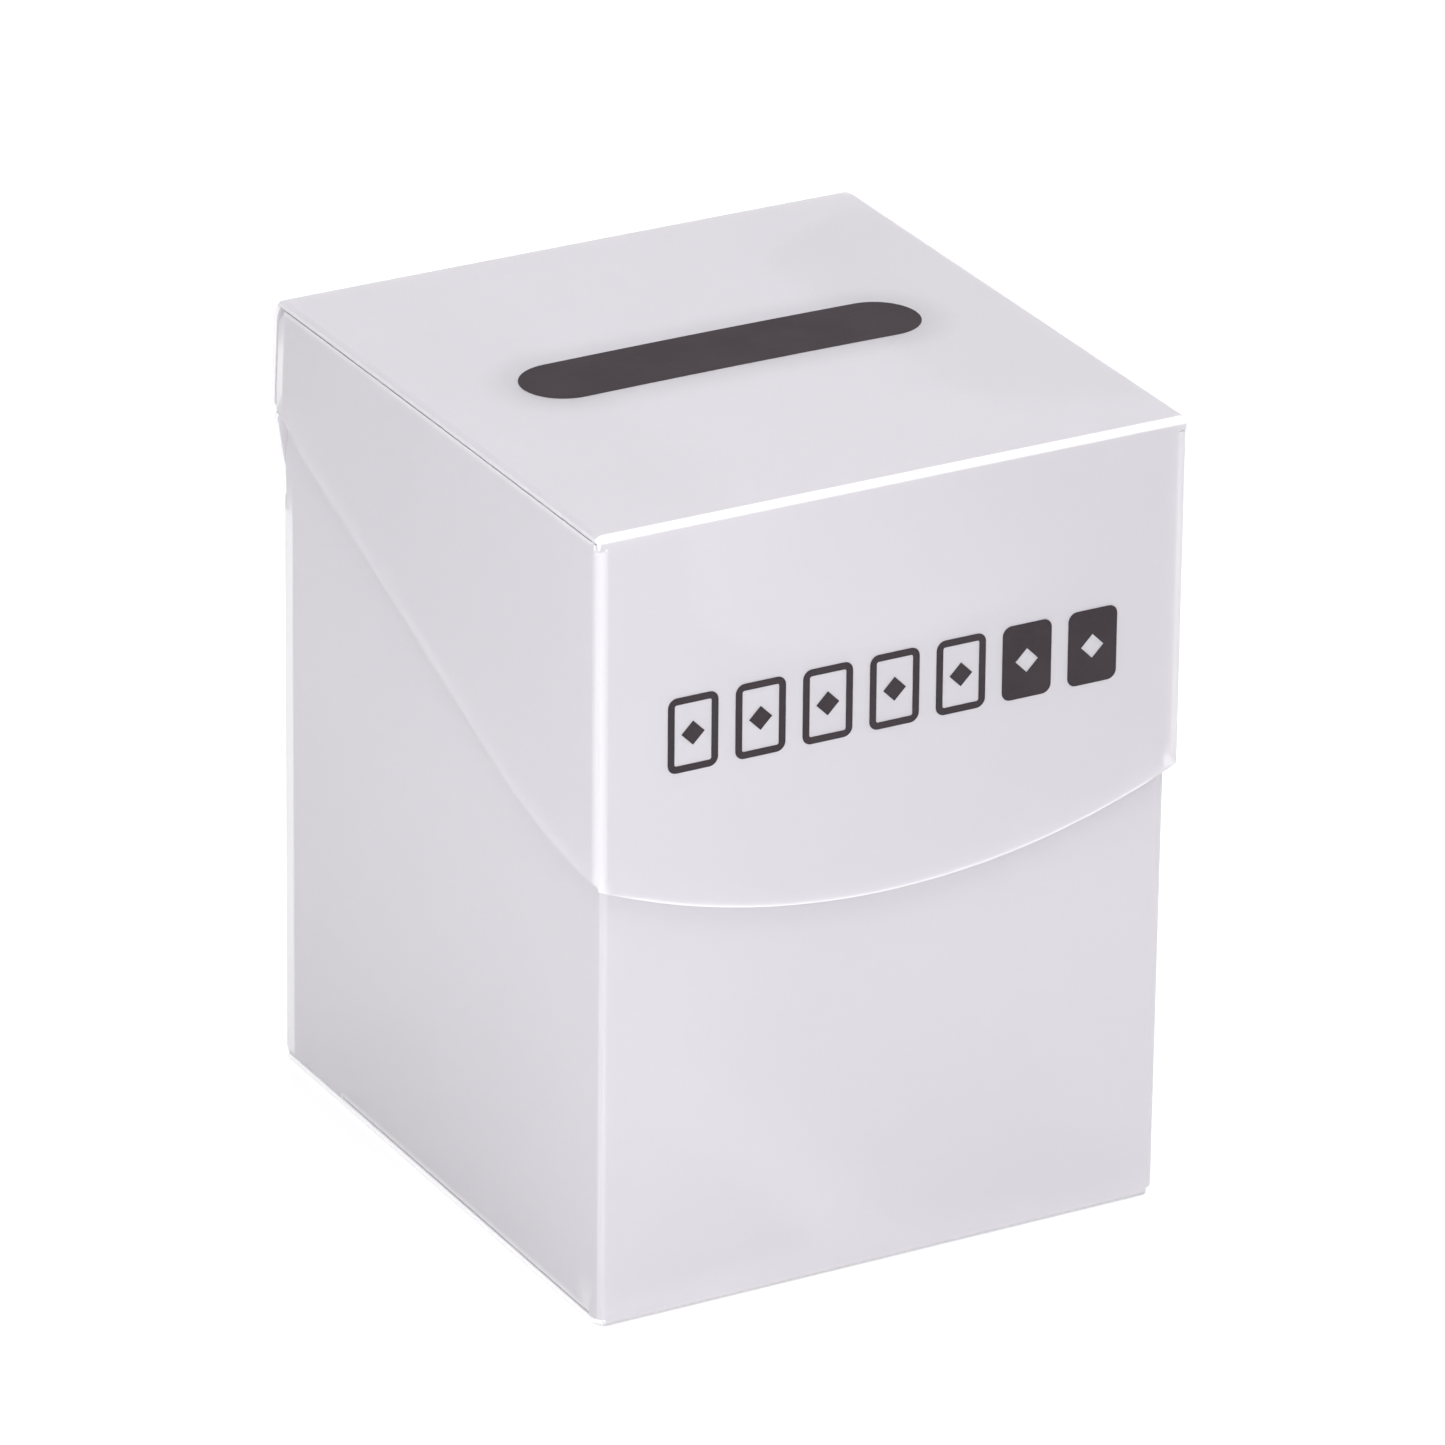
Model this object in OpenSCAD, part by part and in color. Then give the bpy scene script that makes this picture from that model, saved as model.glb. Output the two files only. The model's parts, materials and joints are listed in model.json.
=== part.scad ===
// Folded and welded deck box of thin translucent sheet, for about 100 sleeved cards.
// Origin: centre of the box's underside. +X to the right, +Y to the back, +Z up.
// Each node is one panel or one weld tab of the folded sheet, split at the creases.

/* [Sheet] */
// Thickness of the plastic sheet
sheet_t = 0.7; // [0.5:0.05:0.8]

/* [Box] */
// Outer width of the box
box_w = 72; // [68:0.5:80]
// Outer depth of the box
box_d = 77.8; // [60:0.1:90]
// Height of the front and side walls
wall_h = 94.5; // [92:0.5:98]
// Outer radius of the box's upright folds
fold_r = 0.9; // [0.85:0.05:1.2]

/* [Thumb scoop] */
// Width of the scoop in the front wall
scoop_w = 50.5; // [40:0.5:56]
// Depth of the scoop below the top of the wall
scoop_depth = 18.1; // [16:0.1:22]
// Radius of the scoop's bottom curve
scoop_r = 45; // [40:1:60]
// Radius where the bottom curve meets the scoop's sides
scoop_corner_r = 3; // [2:0.5:4]
// Radius of the wall's top corners beside the scoop
scoop_lip_r = 2; // [1:0.5:3]

/* [Bottom] */
// Width of the side flaps that fold in over the bottom
bottom_flap_w = 30; // [20:1:34]
// Width of the rear weld tab of the bottom
bottom_tab_w = 13; // [8:1:18]
// Width of the upright weld tab inside the right wall
seam_tab_w = 12; // [8:1:16]
// Chamfer on the bottom panel's corners
bottom_chamfer = 1; // [0.8:0.1:1.5]

/* [Lid] */
// Gap between a side wall and the ear outside it
ear_gap = 0.5; // [0.3:0.1:0.8]
// Gap between the front wall and the flap in front of it
flap_gap = 0.4; // [0.4:0.1:0.8]
// Space between the top of the walls and the tabs under the top panel
top_gap = 0.7; // [0.4:0.1:1.2]
// Outer radius of the lid's upright folds
lid_fold_r = 1.3; // [0.9:0.1:1.6]
// Outer radius of the fold between the top and the front flap
front_fold_r = 1; // [0.85:0.05:1.2]
// Outer radius of the fold between the top and the back strip
rear_fold_r = 2.5; // [2:0.1:3]
// Length of the front flap at its middle, below the top
flap_drop = 49.8; // [44:0.2:56]
// Radius of the flap's curved lower edge
flap_r = 92.4; // [80:0.4:110]
// Height of an ear's lower edge at the front, above the ground
ear_front_z = 55; // [52:0.5:58]
// Angle at which an ear's lower edge leaves the front fold
ear_start_angle = 3; // [1:0.5:4]
// Angle of the straight part of an ear's lower edge
ear_slope_angle = 21.9; // [20:0.1:22.5]
// Radius of the curve between those two directions
ear_curve_r = 78; // [70:1:80]
// How far each top tab reaches in from its ear
top_tab_w = 18.9; // [10:0.1:22]
// Chamfer on the inner corners of the top tabs
top_tab_chamfer = 5; // [2:0.5:8]
// How far each rear tab reaches in from its ear
rear_tab_w = 10; // [6:0.5:14]

/* [Living hinge] */
// Height of the hinge crease above the ground
hinge_z = 82.2; // [81:0.2:84]
// Radius of the bead that stands for the thinned crease
hinge_r = 0.3; // [0.25:0.05:0.35]
// Height at which the back wall comes free of the side walls
free_z = 76; // [72:0.5:78]
// How far the walls lean in at their top beside the scoop, so that the flap swings past them
shoulder_lean = 0.8; // [0.8:0.1:1.2]

/* [Prints] */
// Thickness of the printed ink
ink_t = 0.05; // [0.03:0.01:0.1]
// Length of the bar printed on the top
bar_l = 50.4; // [40:0.2:60]
// Width of that bar
bar_w = 10.4; // [8:0.2:14]
// How far the bar lies behind the middle of the box
bar_y = 0.8; // [-5:0.1:5]
// Number of small card outlines printed on the flap
card_count = 7; // [5:1:7]
// How many of them, at the right, are solid
solid_count = 2; // [0:1:4]
// Width of a printed card
card_w = 6.3; // [4:0.1:6.5]
// Height of a printed card
card_h = 9; // [7:0.1:11]
// Width of the whole row of printed cards
card_row_w = 57; // [54:0.5:62]
// Height of the row's middle above the ground
card_row_z = 71.3; // [68:0.1:76]
// Line width of a printed outline
card_line = 0.85; // [0.5:0.05:1]
// Size across the diamond in the middle of each printed card
pip_size = 2.9; // [2:0.1:3.2]

/* [Hidden] */
$fn = 64;

frosted = [0.87, 0.85, 0.88, 0.7];
ink = [0.25, 0.23, 0.25];

half_w = box_w / 2;
half_d = box_d / 2;

// Lid, outside: it overhangs the box at the front and sides, and its strip continues the back.
lid_w = box_w + 2 * (ear_gap + sheet_t);
lid_front_y = -half_d - flap_gap - sheet_t;
lid_back_y = half_d + sheet_t;
lid_top_z = wall_h + top_gap + 2 * sheet_t;
under_top_z = lid_top_z - sheet_t;
// The top panel and the back strip are cut a little narrower than the lid.
cut_inset = 0.3;
panel_w = lid_w - 2 * cut_inset;

// The ears are folded round inside the back strip.
ear_back_y = half_d;
ear_ring_d = ear_back_y - lid_front_y;
ear_ring_y = (ear_back_y + lid_front_y) / 2;
ear_top_r = 0.8;

// Joint axis: along the outer face of the back strip.
hinge_y = lid_back_y;
hinge_clearance = 0.05;
hinge_l = box_w - 1;
strip_bottom_z = hinge_z + hinge_r + hinge_clearance;
// The free top of the back wall leans out this far to meet the hinge.
flare = 0.6;
// The front of the walls leans in from the height of the hinge up.
lean_z = hinge_z;
lean_angle = atan(shoulder_lean / (wall_h - lean_z));

// The wedge that cuts one wall out of a ring reaches this far in.
wedge_in = 5;
// The side walls step in this far over this rise, to clear the rear tabs.
rear_step = 1.4;
rear_step_rise = 4;
// Relief cut where the top, front and side folds of the lid meet.
corner_notch = 1;
// The rear tabs start here, just above the hinge, and end below the lid's rear fold.
rear_tab_z = hinge_z + 1;
rear_tab_top_z = lid_top_z - rear_fold_r - 0.3;
// The top tabs stop this far short of the flap, and this far short of the rear fold.
tab_front_gap = 1.2;
tab_rear_gap = 0.3;
card_corner_r = 1.1;
// Cutting shapes run this far past what they cut.
above = 1;

scoop_bottom_z = wall_h - scoop_depth;
scoop_centre_z = scoop_bottom_z + scoop_r;
corner_x = scoop_w / 2 - scoop_corner_r;
corner_z = scoop_centre_z
    - sqrt(pow(scoop_r - scoop_corner_r, 2) - pow(corner_x, 2));
tangent_x = corner_x * scoop_r / (scoop_r - scoop_corner_r);

ear_curve_y = lid_front_y - ear_curve_r * sin(ear_start_angle);
ear_curve_z = ear_front_z + ear_curve_r * cos(ear_start_angle);
ear_line_y = ear_curve_y + ear_curve_r * sin(ear_slope_angle);
ear_line_z = ear_curve_z - ear_curve_r * cos(ear_slope_angle);
ear_line_rise = tan(ear_slope_angle);

// ---- shared shapes ----

// Rectangle with round corners, centred.
module rounded_2d(w, d, r) {
    square([w - 2 * r, d], center = true);
    square([w, d - 2 * r], center = true);
    for (x = [-1, 1], y = [-1, 1])
        translate([x * (w / 2 - r), y * (d / 2 - r)])
            circle(r);
}

// One sheet folded round a rectangle.
module ring_2d(w, d, r) {
    difference() {
        rounded_2d(w, d, r);
        rounded_2d(w - 2 * sheet_t, d - 2 * sheet_t, r - sheet_t);
    }
}

// The part of a ring that belongs to its front, split at the middle of the folds.
module front_wedge_2d(w, d) {
    polygon([[-w / 2, -d / 2], [w / 2, -d / 2],
             [w / 2 - wedge_in, -d / 2 + wedge_in], [-w / 2 + wedge_in, -d / 2 + wedge_in]]);
}

// The part that belongs to its left side.
module left_wedge_2d(w, d) {
    polygon([[-w / 2, -d / 2], [-w / 2 + wedge_in, -d / 2 + wedge_in],
             [-w / 2 + wedge_in, d / 2 - wedge_in], [-w / 2, d / 2]]);
}

module front_of_ring(w, d, r) {
    intersection() {
        ring_2d(w, d, r);
        front_wedge_2d(w, d);
    }
}

module left_of_ring(w, d, r) {
    intersection() {
        ring_2d(w, d, r);
        left_wedge_2d(w, d);
    }
}

// Raises a plan shape from z0 to z1.
module rise(z0, z1) {
    translate([0, 0, z0])
        linear_extrude(z1 - z0)
            children();
}

// Raises a plan shape of the front of the walls from the height of the hinge to their top,
// turned back about the foot of the lean.
module rise_leaning() {
    intersection() {
        translate([0, -half_d, lean_z])
            rotate([-lean_angle, 0, 0])
                translate([0, half_d, -above])
                    linear_extrude(wall_h - lean_z + 3 * above)
                        children();
        rise(lean_z, wall_h)
            square([2 * box_w, 2 * box_d], center = true);
    }
}

// Runs a (y, z) profile along X, centred.
module along_x(length) {
    translate([-length / 2, 0, 0])
        rotate([90, 0, 90])
            linear_extrude(length)
                children();
}

// Runs an (x, z) outline from y0 back to y1.
module along_y(y0, y1) {
    translate([0, y1, 0])
        rotate([90, 0, 0])
            linear_extrude(y1 - y0)
                children();
}

// What rounding takes off a square corner at the origin, with the solid in +, +.
module corner_waste_2d(r) {
    difference() {
        translate([-above, -above])
            square(r + above);
        translate([r, r])
            circle(r);
        translate([r, -above])
            square([r, r + above]);
    }
}

// ---- box ----

// The scoop as seen from the front: a wide arc, round corners and straight sides.
module scoop_2d() {
    intersection() {
        translate([0, scoop_centre_z])
            circle(scoop_r, $fn = 128);
        translate([-tangent_x, scoop_bottom_z - above])
            square([2 * tangent_x, scoop_depth + 2 * above]);
    }
    for (side = [-1, 1])
        translate([side * corner_x, corner_z])
            circle(scoop_corner_r);
    translate([-scoop_w / 2, corner_z])
        square([scoop_w, wall_h + above - corner_z]);
    for (side = [0, 1])
        mirror([side, 0])
            translate([scoop_w / 2, wall_h])
                lip_waste_2d();
}

// Rounds the corner that the wall keeps beside the scoop.
module lip_waste_2d() {
    difference() {
        translate([-above, -scoop_lip_r])
            square([scoop_lip_r + above, scoop_lip_r + above]);
        translate([scoop_lip_r, -scoop_lip_r])
            circle(scoop_lip_r);
        translate([-above, -2 * scoop_lip_r])
            square([above, scoop_lip_r]);
    }
}

module front_wall() {
    color(frosted)
        difference() {
            union() {
                rise(0, lean_z)
                    front_of_ring(box_w, box_d, fold_r);
                rise_leaning()
                    front_of_ring(box_w, box_d, fold_r);
            }
            along_y(-half_d - above, -half_d + wedge_in)
                scoop_2d();
            // The bottom panel takes the lower half of the fold between them.
            along_x(box_w + 2)
                polygon([[-half_d - above, -above], [-half_d + wedge_in, -above],
                         [-half_d + wedge_in, wedge_in], [-half_d - above, -above]]);
            along_x(box_w + 2)
                translate([-half_d, 0])
                    corner_waste_2d(fold_r);
        }
}

// The front end of the left side, as deep as it leans with the front wall.
module left_front_2d() {
    intersection() {
        left_of_ring(box_w, box_d, fold_r);
        translate([-half_w, -half_d])
            square(wedge_in);
    }
}

module left_wall() {
    color(frosted)
        difference() {
            union() {
                rise(sheet_t, lean_z)
                    left_of_ring(box_w, box_d, fold_r);
                rise_leaning()
                    left_front_2d();
                rise(lean_z, wall_h)
                    difference() {
                        left_of_ring(box_w, box_d, fold_r);
                        translate([-half_w - above, -half_d - above])
                            square(wedge_in);
                    }
            }
            // Above the end of its rear fold the wall steps in, clear of the lid's rear tabs.
            along_x(box_w + 2)
                polygon([[half_d, free_z], [half_d - rear_step, free_z + rear_step_rise],
                         [half_d - rear_step, wall_h + above], [half_d + above, wall_h + above],
                         [half_d + above, free_z]]);
        }
}

module right_wall() {
    mirror([1, 0, 0])
        left_wall();
}

module back_wall() {
    color(frosted) {
        rise(sheet_t, free_z)
            rotate(180)
                front_of_ring(box_w, box_d, fold_r);
        difference() {
            intersection() {
                along_x(panel_w)
                    polygon([[half_d - sheet_t, free_z], [half_d, free_z],
                             [half_d + flare, hinge_z], [half_d + flare - sheet_t, hinge_z]]);
                along_y(0, lid_back_y)
                    polygon([[-half_w + fold_r, free_z], [half_w - fold_r, free_z],
                             [panel_w / 2, hinge_z], [-panel_w / 2, hinge_z]]);
            }
            hinge_cylinder();
        }
    }
}

module bottom_panel() {
    color(frosted)
        difference() {
            rise(0, sheet_t)
                polygon([[-half_w + bottom_chamfer, -half_d], [half_w - bottom_chamfer, -half_d],
                         [half_w, -half_d + bottom_chamfer], [half_w, half_d - bottom_chamfer],
                         [half_w - bottom_chamfer, half_d], [-half_w + bottom_chamfer, half_d],
                         [-half_w, half_d - bottom_chamfer], [-half_w, -half_d + bottom_chamfer]]);
            // The front wall takes the upper half of the fold between them.
            along_x(box_w + 2)
                polygon([[-half_d - above, -above], [-half_d + sheet_t + above, sheet_t + above],
                         [-half_d - above, sheet_t + above]]);
            along_x(box_w + 2)
                translate([-half_d, 0])
                    corner_waste_2d(fold_r);
        }
}

module bottom_left_flap() {
    flap_front_y = -half_d + sheet_t + 2;
    flap_back_y = half_d - sheet_t - bottom_tab_w - 1;
    outer_x = -half_w + sheet_t;
    lead_in = 3;
    color(frosted)
        rise(sheet_t, 2 * sheet_t)
            polygon([[outer_x, flap_front_y], [outer_x + bottom_flap_w, flap_front_y + lead_in],
                     [outer_x + bottom_flap_w, flap_back_y - lead_in], [outer_x, flap_back_y]]);
}

module bottom_right_flap() {
    mirror([1, 0, 0])
        bottom_left_flap();
}

module bottom_rear_tab() {
    back_y = half_d - sheet_t;
    end_x = half_w - sheet_t - 1;
    taper = 5;
    color(frosted)
        rise(sheet_t, 2 * sheet_t)
            polygon([[-end_x, back_y], [-end_x + taper, back_y - bottom_tab_w],
                     [end_x - taper, back_y - bottom_tab_w], [end_x, back_y]]);
}

// Stands inside the right wall, folded round from the back wall.
module seam_tab() {
    outer_x = half_w - sheet_t;
    back_y = half_d - fold_r;
    low_z = 3 * sheet_t;
    high_z = free_z - 1;
    taper = 3;
    color(frosted)
        translate([outer_x - sheet_t / 2, 0, 0])
            along_x(sheet_t)
                polygon([[back_y, low_z], [back_y, high_z],
                         [back_y - seam_tab_w, high_z - taper],
                         [back_y - seam_tab_w, low_z + taper]]);
}

module hinge_cylinder() {
    translate([-hinge_l / 2, hinge_y, hinge_z])
        rotate([0, 90, 0])
            cylinder(h = hinge_l, r = hinge_r);
}

module living_hinge() {
    color(frosted)
        hinge_cylinder();
}

// ---- lid ----

// Side view of the sheet over the top: flap, top panel and back strip in one line.
module over_top_2d() {
    difference() {
        over_top_solid_2d(lid_front_y, lid_back_y, lid_top_z, front_fold_r, rear_fold_r);
        over_top_solid_2d(lid_front_y + sheet_t, lid_back_y - sheet_t, under_top_z,
                          front_fold_r - sheet_t, rear_fold_r - sheet_t);
    }
}

module over_top_solid_2d(y0, y1, top, front_r, rear_r) {
    difference() {
        translate([y0, 0])
            square([y1 - y0, top]);
        translate([y0, top])
            mirror([0, 1])
                corner_waste_2d(front_r);
        translate([y1, top])
            rotate(180)
                corner_waste_2d(rear_r);
    }
}

module top_panel() {
    color(frosted)
        along_x(panel_w)
            intersection() {
                over_top_2d();
                polygon([[lid_front_y, lid_top_z], [lid_back_y, lid_top_z],
                         [lid_back_y - wedge_in, lid_top_z - wedge_in],
                         [lid_front_y + wedge_in, lid_top_z - wedge_in]]);
            }
}

module back_strip() {
    color(frosted)
        along_x(panel_w)
            intersection() {
                over_top_2d();
                polygon([[lid_back_y, strip_bottom_z], [lid_back_y, lid_top_z],
                         [lid_back_y - wedge_in, lid_top_z - wedge_in],
                         [lid_back_y - wedge_in, strip_bottom_z]]);
            }
}

// Front view of the flap: a rectangle with a round lower edge and notched top corners.
module flap_2d() {
    flap_low_z = lid_top_z - flap_drop;
    intersection() {
        translate([0, flap_low_z + flap_r])
            circle(flap_r, $fn = 160);
        difference() {
            translate([-lid_w / 2, flap_low_z])
                square([lid_w, flap_drop]);
            for (side = [-1, 1])
                translate([side * lid_w / 2, lid_top_z])
                    square(2 * corner_notch, center = true);
        }
    }
}

module front_flap() {
    color(frosted)
        difference() {
            intersection() {
                translate([0, ear_ring_y, 0])
                    rise(0, lid_top_z)
                        front_of_ring(lid_w, ear_ring_d, lid_fold_r);
                along_y(lid_front_y, lid_front_y + wedge_in)
                    flap_2d();
            }
            // The top panel takes the upper half of the fold between them.
            along_x(lid_w + 2)
                polygon([[lid_front_y - above, lid_top_z + above],
                         [lid_front_y + wedge_in, lid_top_z - wedge_in],
                         [lid_front_y + wedge_in, lid_top_z + above]]);
            along_x(lid_w + 2)
                translate([lid_front_y, lid_top_z])
                    mirror([0, 1])
                        corner_waste_2d(front_fold_r);
        }
}

// Side view of an ear: its lower edge curves up from the front, then runs straight to the back.
module ear_2d() {
    line_end_z = ear_line_z + (ear_back_y - ear_line_y) * ear_line_rise;
    intersection() {
        translate([lid_front_y, 0])
            square([ear_ring_d, under_top_z]);
        union() {
            translate([ear_curve_y, ear_curve_z])
                circle(ear_curve_r, $fn = 160);
            polygon([[ear_line_y, ear_line_z], [ear_back_y, line_end_z],
                     [ear_back_y, lid_top_z], [ear_line_y, lid_top_z]]);
        }
    }
}

module left_ear() {
    color(frosted)
        difference() {
            intersection() {
                translate([0, ear_ring_y, 0])
                    rise(0, under_top_z)
                        left_of_ring(lid_w, ear_ring_d, lid_fold_r);
                translate([-lid_w / 2 + wedge_in / 2, 0, 0])
                    along_x(wedge_in)
                        ear_2d();
            }
            // Round outer edge, where the sheet folds in under the top panel.
            along_y(lid_front_y - above, ear_back_y + above)
                translate([-lid_w / 2, under_top_z])
                    mirror([0, 1])
                        corner_waste_2d(ear_top_r);
            // Round back corner, inside the lid's rear fold.
            along_x(lid_w + 2)
                translate([ear_back_y, under_top_z])
                    rotate(180)
                        corner_waste_2d(rear_fold_r - sheet_t);
        }
}

module right_ear() {
    mirror([1, 0, 0])
        left_ear();
}

module left_top_tab() {
    outer_x = -lid_w / 2 + sheet_t;
    inner_x = outer_x + top_tab_w;
    front_y = lid_front_y + tab_front_gap;
    back_y = lid_back_y - rear_fold_r - tab_rear_gap;
    color(frosted)
        rise(under_top_z - sheet_t, under_top_z)
            polygon([[outer_x, front_y], [inner_x - top_tab_chamfer, front_y],
                     [inner_x, front_y + top_tab_chamfer], [inner_x, back_y - top_tab_chamfer],
                     [inner_x - top_tab_chamfer, back_y], [outer_x, back_y]]);
}

module right_top_tab() {
    mirror([1, 0, 0])
        left_top_tab();
}

module left_rear_tab() {
    color(frosted)
        intersection() {
            translate([0, ear_ring_y, 0])
                rise(rear_tab_z, rear_tab_top_z)
                    rotate(180)
                        front_of_ring(lid_w, ear_ring_d, lid_fold_r);
            translate([-lid_w / 2, 0, 0])
                cube([rear_tab_w, half_d + above, lid_top_z]);
        }
}

module right_rear_tab() {
    mirror([1, 0, 0])
        left_rear_tab();
}

// ---- prints ----

// A bar with full-round ends.
module bar_2d() {
    straight_l = bar_l - bar_w;
    square([straight_l, bar_w], center = true);
    for (end = [-1, 1])
        translate([end * straight_l / 2, 0])
            circle(bar_w / 2);
}

module top_print() {
    color(ink)
        translate([0, bar_y, 0])
            rise(lid_top_z, lid_top_z + ink_t)
                bar_2d();
}

module diamond_2d() {
    rotate(45)
        square(pip_size / sqrt(2), center = true);
}

module outlined_card_2d() {
    difference() {
        rounded_2d(card_w, card_h, card_corner_r);
        rounded_2d(card_w - 2 * card_line, card_h - 2 * card_line, card_corner_r - card_line);
    }
    diamond_2d();
}

module solid_card_2d() {
    difference() {
        rounded_2d(card_w, card_h, card_corner_r);
        diamond_2d();
    }
}

module front_print() {
    pitch = (card_row_w - card_w) / (card_count - 1);
    color(ink)
        along_y(lid_front_y - ink_t, lid_front_y)
            for (i = [0 : card_count - 1])
                translate([(i - (card_count - 1) / 2) * pitch, card_row_z])
                    if (i < card_count - solid_count)
                        outlined_card_2d();
                    else
                        solid_card_2d();
}

front_wall();
left_wall();
right_wall();
back_wall();
bottom_panel();
bottom_left_flap();
bottom_right_flap();
bottom_rear_tab();
seam_tab();
living_hinge();
back_strip();
top_panel();
front_flap();
left_ear();
right_ear();
left_top_tab();
right_top_tab();
left_rear_tab();
right_rear_tab();
top_print();
front_print();
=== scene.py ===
"""The look of the frosted card deck box: its camera, floor, light, materials and folded sheets.

Lengths are in millimetres until a mesh is made. Each piece is cut out flat, in the (u, v) of its panel, and
then folded. An outline runs anticlockwise. True as a point's third entry marks the stretch to the next point
as a mitre, where the piece meets its neighbour half-way round a fold.
"""

import json
import math

import bpy
from mathutils import Matrix, Vector, geometry


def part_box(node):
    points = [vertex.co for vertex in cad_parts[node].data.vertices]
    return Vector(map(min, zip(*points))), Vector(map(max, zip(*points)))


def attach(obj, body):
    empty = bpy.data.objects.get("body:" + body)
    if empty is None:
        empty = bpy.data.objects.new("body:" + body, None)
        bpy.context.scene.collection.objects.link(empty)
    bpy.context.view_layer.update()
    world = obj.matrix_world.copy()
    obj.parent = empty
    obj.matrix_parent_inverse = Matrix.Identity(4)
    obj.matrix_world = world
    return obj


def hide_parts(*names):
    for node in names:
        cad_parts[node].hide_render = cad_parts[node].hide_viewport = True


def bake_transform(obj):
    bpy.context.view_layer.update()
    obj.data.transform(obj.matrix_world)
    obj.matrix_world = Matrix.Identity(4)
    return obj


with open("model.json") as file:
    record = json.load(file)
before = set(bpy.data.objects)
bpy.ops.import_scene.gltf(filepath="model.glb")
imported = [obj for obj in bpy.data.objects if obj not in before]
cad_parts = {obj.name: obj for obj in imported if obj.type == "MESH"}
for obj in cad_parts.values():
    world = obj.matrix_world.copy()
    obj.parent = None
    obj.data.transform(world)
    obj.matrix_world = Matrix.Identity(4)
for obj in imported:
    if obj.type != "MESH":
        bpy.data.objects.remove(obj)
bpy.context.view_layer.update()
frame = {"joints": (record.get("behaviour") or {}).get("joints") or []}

MM = 0.001
X = Vector((1, 0, 0))
Y = Vector((0, 1, 0))
Z = Vector((0, 0, 1))


# ---- sizes, from the frame ----

def low(node):
    """A CAD node's lowest corner, in millimetres."""
    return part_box(node)[0] / MM


def high(node):
    """A CAD node's highest corner, in millimetres."""
    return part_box(node)[1] / MM


SHEET = high("bottom_panel").z
BOX_X = high("right_wall").x
BOX_Y = high("bottom_panel").y
WALL_TOP = high("front_wall").z
LID_X = high("right_ear").x
LID_FRONT = -low("front_flap").y
LID_BACK = high("back_strip").y
LID_TOP = high("top_panel").z
FLAP_LOW = low("front_flap").z
HINGE = Vector(frame["joints"][0]["pos_m"]) / MM
INK = high("top_print").z - LID_TOP
BAR_LOW = low("top_print")
BAR_HIGH = high("top_print")
BAR_X = (BAR_LOW.x + BAR_HIGH.x) / 2
BAR_Y = (BAR_LOW.y + BAR_HIGH.y) / 2
BAR_R = (BAR_HIGH.y - BAR_LOW.y) / 2
BAR_STRAIGHT = (BAR_HIGH.x - BAR_LOW.x) / 2 - BAR_R
ROW_LOW = low("front_print")
ROW_HIGH = high("front_print")

# Outer radii of the folds.
BOX_FOLD = 0.75
LID_FOLD = 0.9
FRONT_FOLD = 0.7
REAR_FOLD = 2.5
EAR_TOP_FOLD = 0.37
BOTTOM_FOLD = 0.55

# How white a fold is painted, stress whitening with a painted highlight, and how far the white reaches beyond
# it.
FAINT_CREASE = {"pale": 0.15, "band": -0.1}
SOFT_CREASE = {"pale": 0.2, "band": -0.2}
# The back folds' wide pale band is a painted highlight of the rounded fold.
BACK_FOLD_HIGHLIGHT = {"pale": 0.65, "band": 1.6}
# The top-front fold's white line is stress whitening with a painted highlight of the rounded fold.
FRONT_CREASE_WHITE_AND_HIGHLIGHT = {"pale": 1.0, "band": -0.12}
REAR_CREASE = {"pale": 0.15, "band": 0.0}
CORNER_CREASE = {"pale": 0.35, "band": 0.2}
# The ears' back folds carry the same wide painted highlight.
EAR_BACK_FOLD_HIGHLIGHT = {"pale": 0.65, "band": 1.1}
# The white ends over this width.
BAND_EDGE = 0.3

# Half of a mitre's gap, and the gap between two welded layers.
MITRE_GAP = 0.01
WELD_GAP = 0.04
# The bevel of a cut edge.
EDGE = 0.12
# A fold that covers part of a side reaches this far past the outline that it folds.
FOLD_MARGIN = 0.05
# A cut edge with a painted highlight beside it, standing in for light through the edge, is palest this near
# the edge and plain this far from it. It ends short of the folds, and fades in from its ends.
GLOW_NEAR = 0.13
GLOW_FAR = 0.45
GLOW_END = 0.5
GLOW_TAPER = 3.0
# How strong the painted highlight beside the flap's lower edge is, and beside an ear's.
FLAP_SHINE = 0.7
EAR_SHINE = 0.3
# How pale the painted highlight on the top panel's cut edges is, where 1 is the other pieces'.
TOP_RIM_HIGHLIGHT = 0.3

# The back wall comes free of the side walls here, leans out to the hinge, and widens on the way.
FREE_Z = 71.6
FREE_MARGIN = 0.02
FREE_RISE = 0.7
FREE_WALL = ((35.3, 72.3), (36.0, 76.0), (36.8, 81.4))
FLARE = 0.5
FLARE_TOP_Z = 78.5

# The back edge of a side wall steps in below its top.
STEP_Z = 80.0
STEP_IN = 1.4
STEP_DROP = 3.0

# The living hinge: half the height that bends, its web's overlap and gaps, its depths and its divisions.
HINGE_HALF = 0.27
HINGE_OVERLAP = 0.02
HINGE_INSET = 0.12
HINGE_END_GAP = 0.7
WEB_THIN = 0.22
WEB_THICK = 0.5
WEB_ROWS = 12
WEB_COLUMNS = 25

# The scoop in the front wall.
SCOOP_X = 25.25
SCOOP_Z = 76.4
SCOOP_R = 45.0
SCOOP_CORNER_R = 3.0
SCOOP_LIP_R = 2.0

# The flap's lower edge, and the curved then straight lower edge of an ear.
FLAP_R = 92.4
EAR_FRONT_Z = 55.0
EAR_CURVE_R = 78.0
EAR_START = math.radians(3)
EAR_SLOPE = math.radians(21.9)
EAR_STEPS = 24
EAR_FRONT_GAP = 0.2
EAR_FRONT_RISE = 0.15
EAR_BACK_CORNER = ((32.34, 79.4), (36.49, 81.83))

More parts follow.
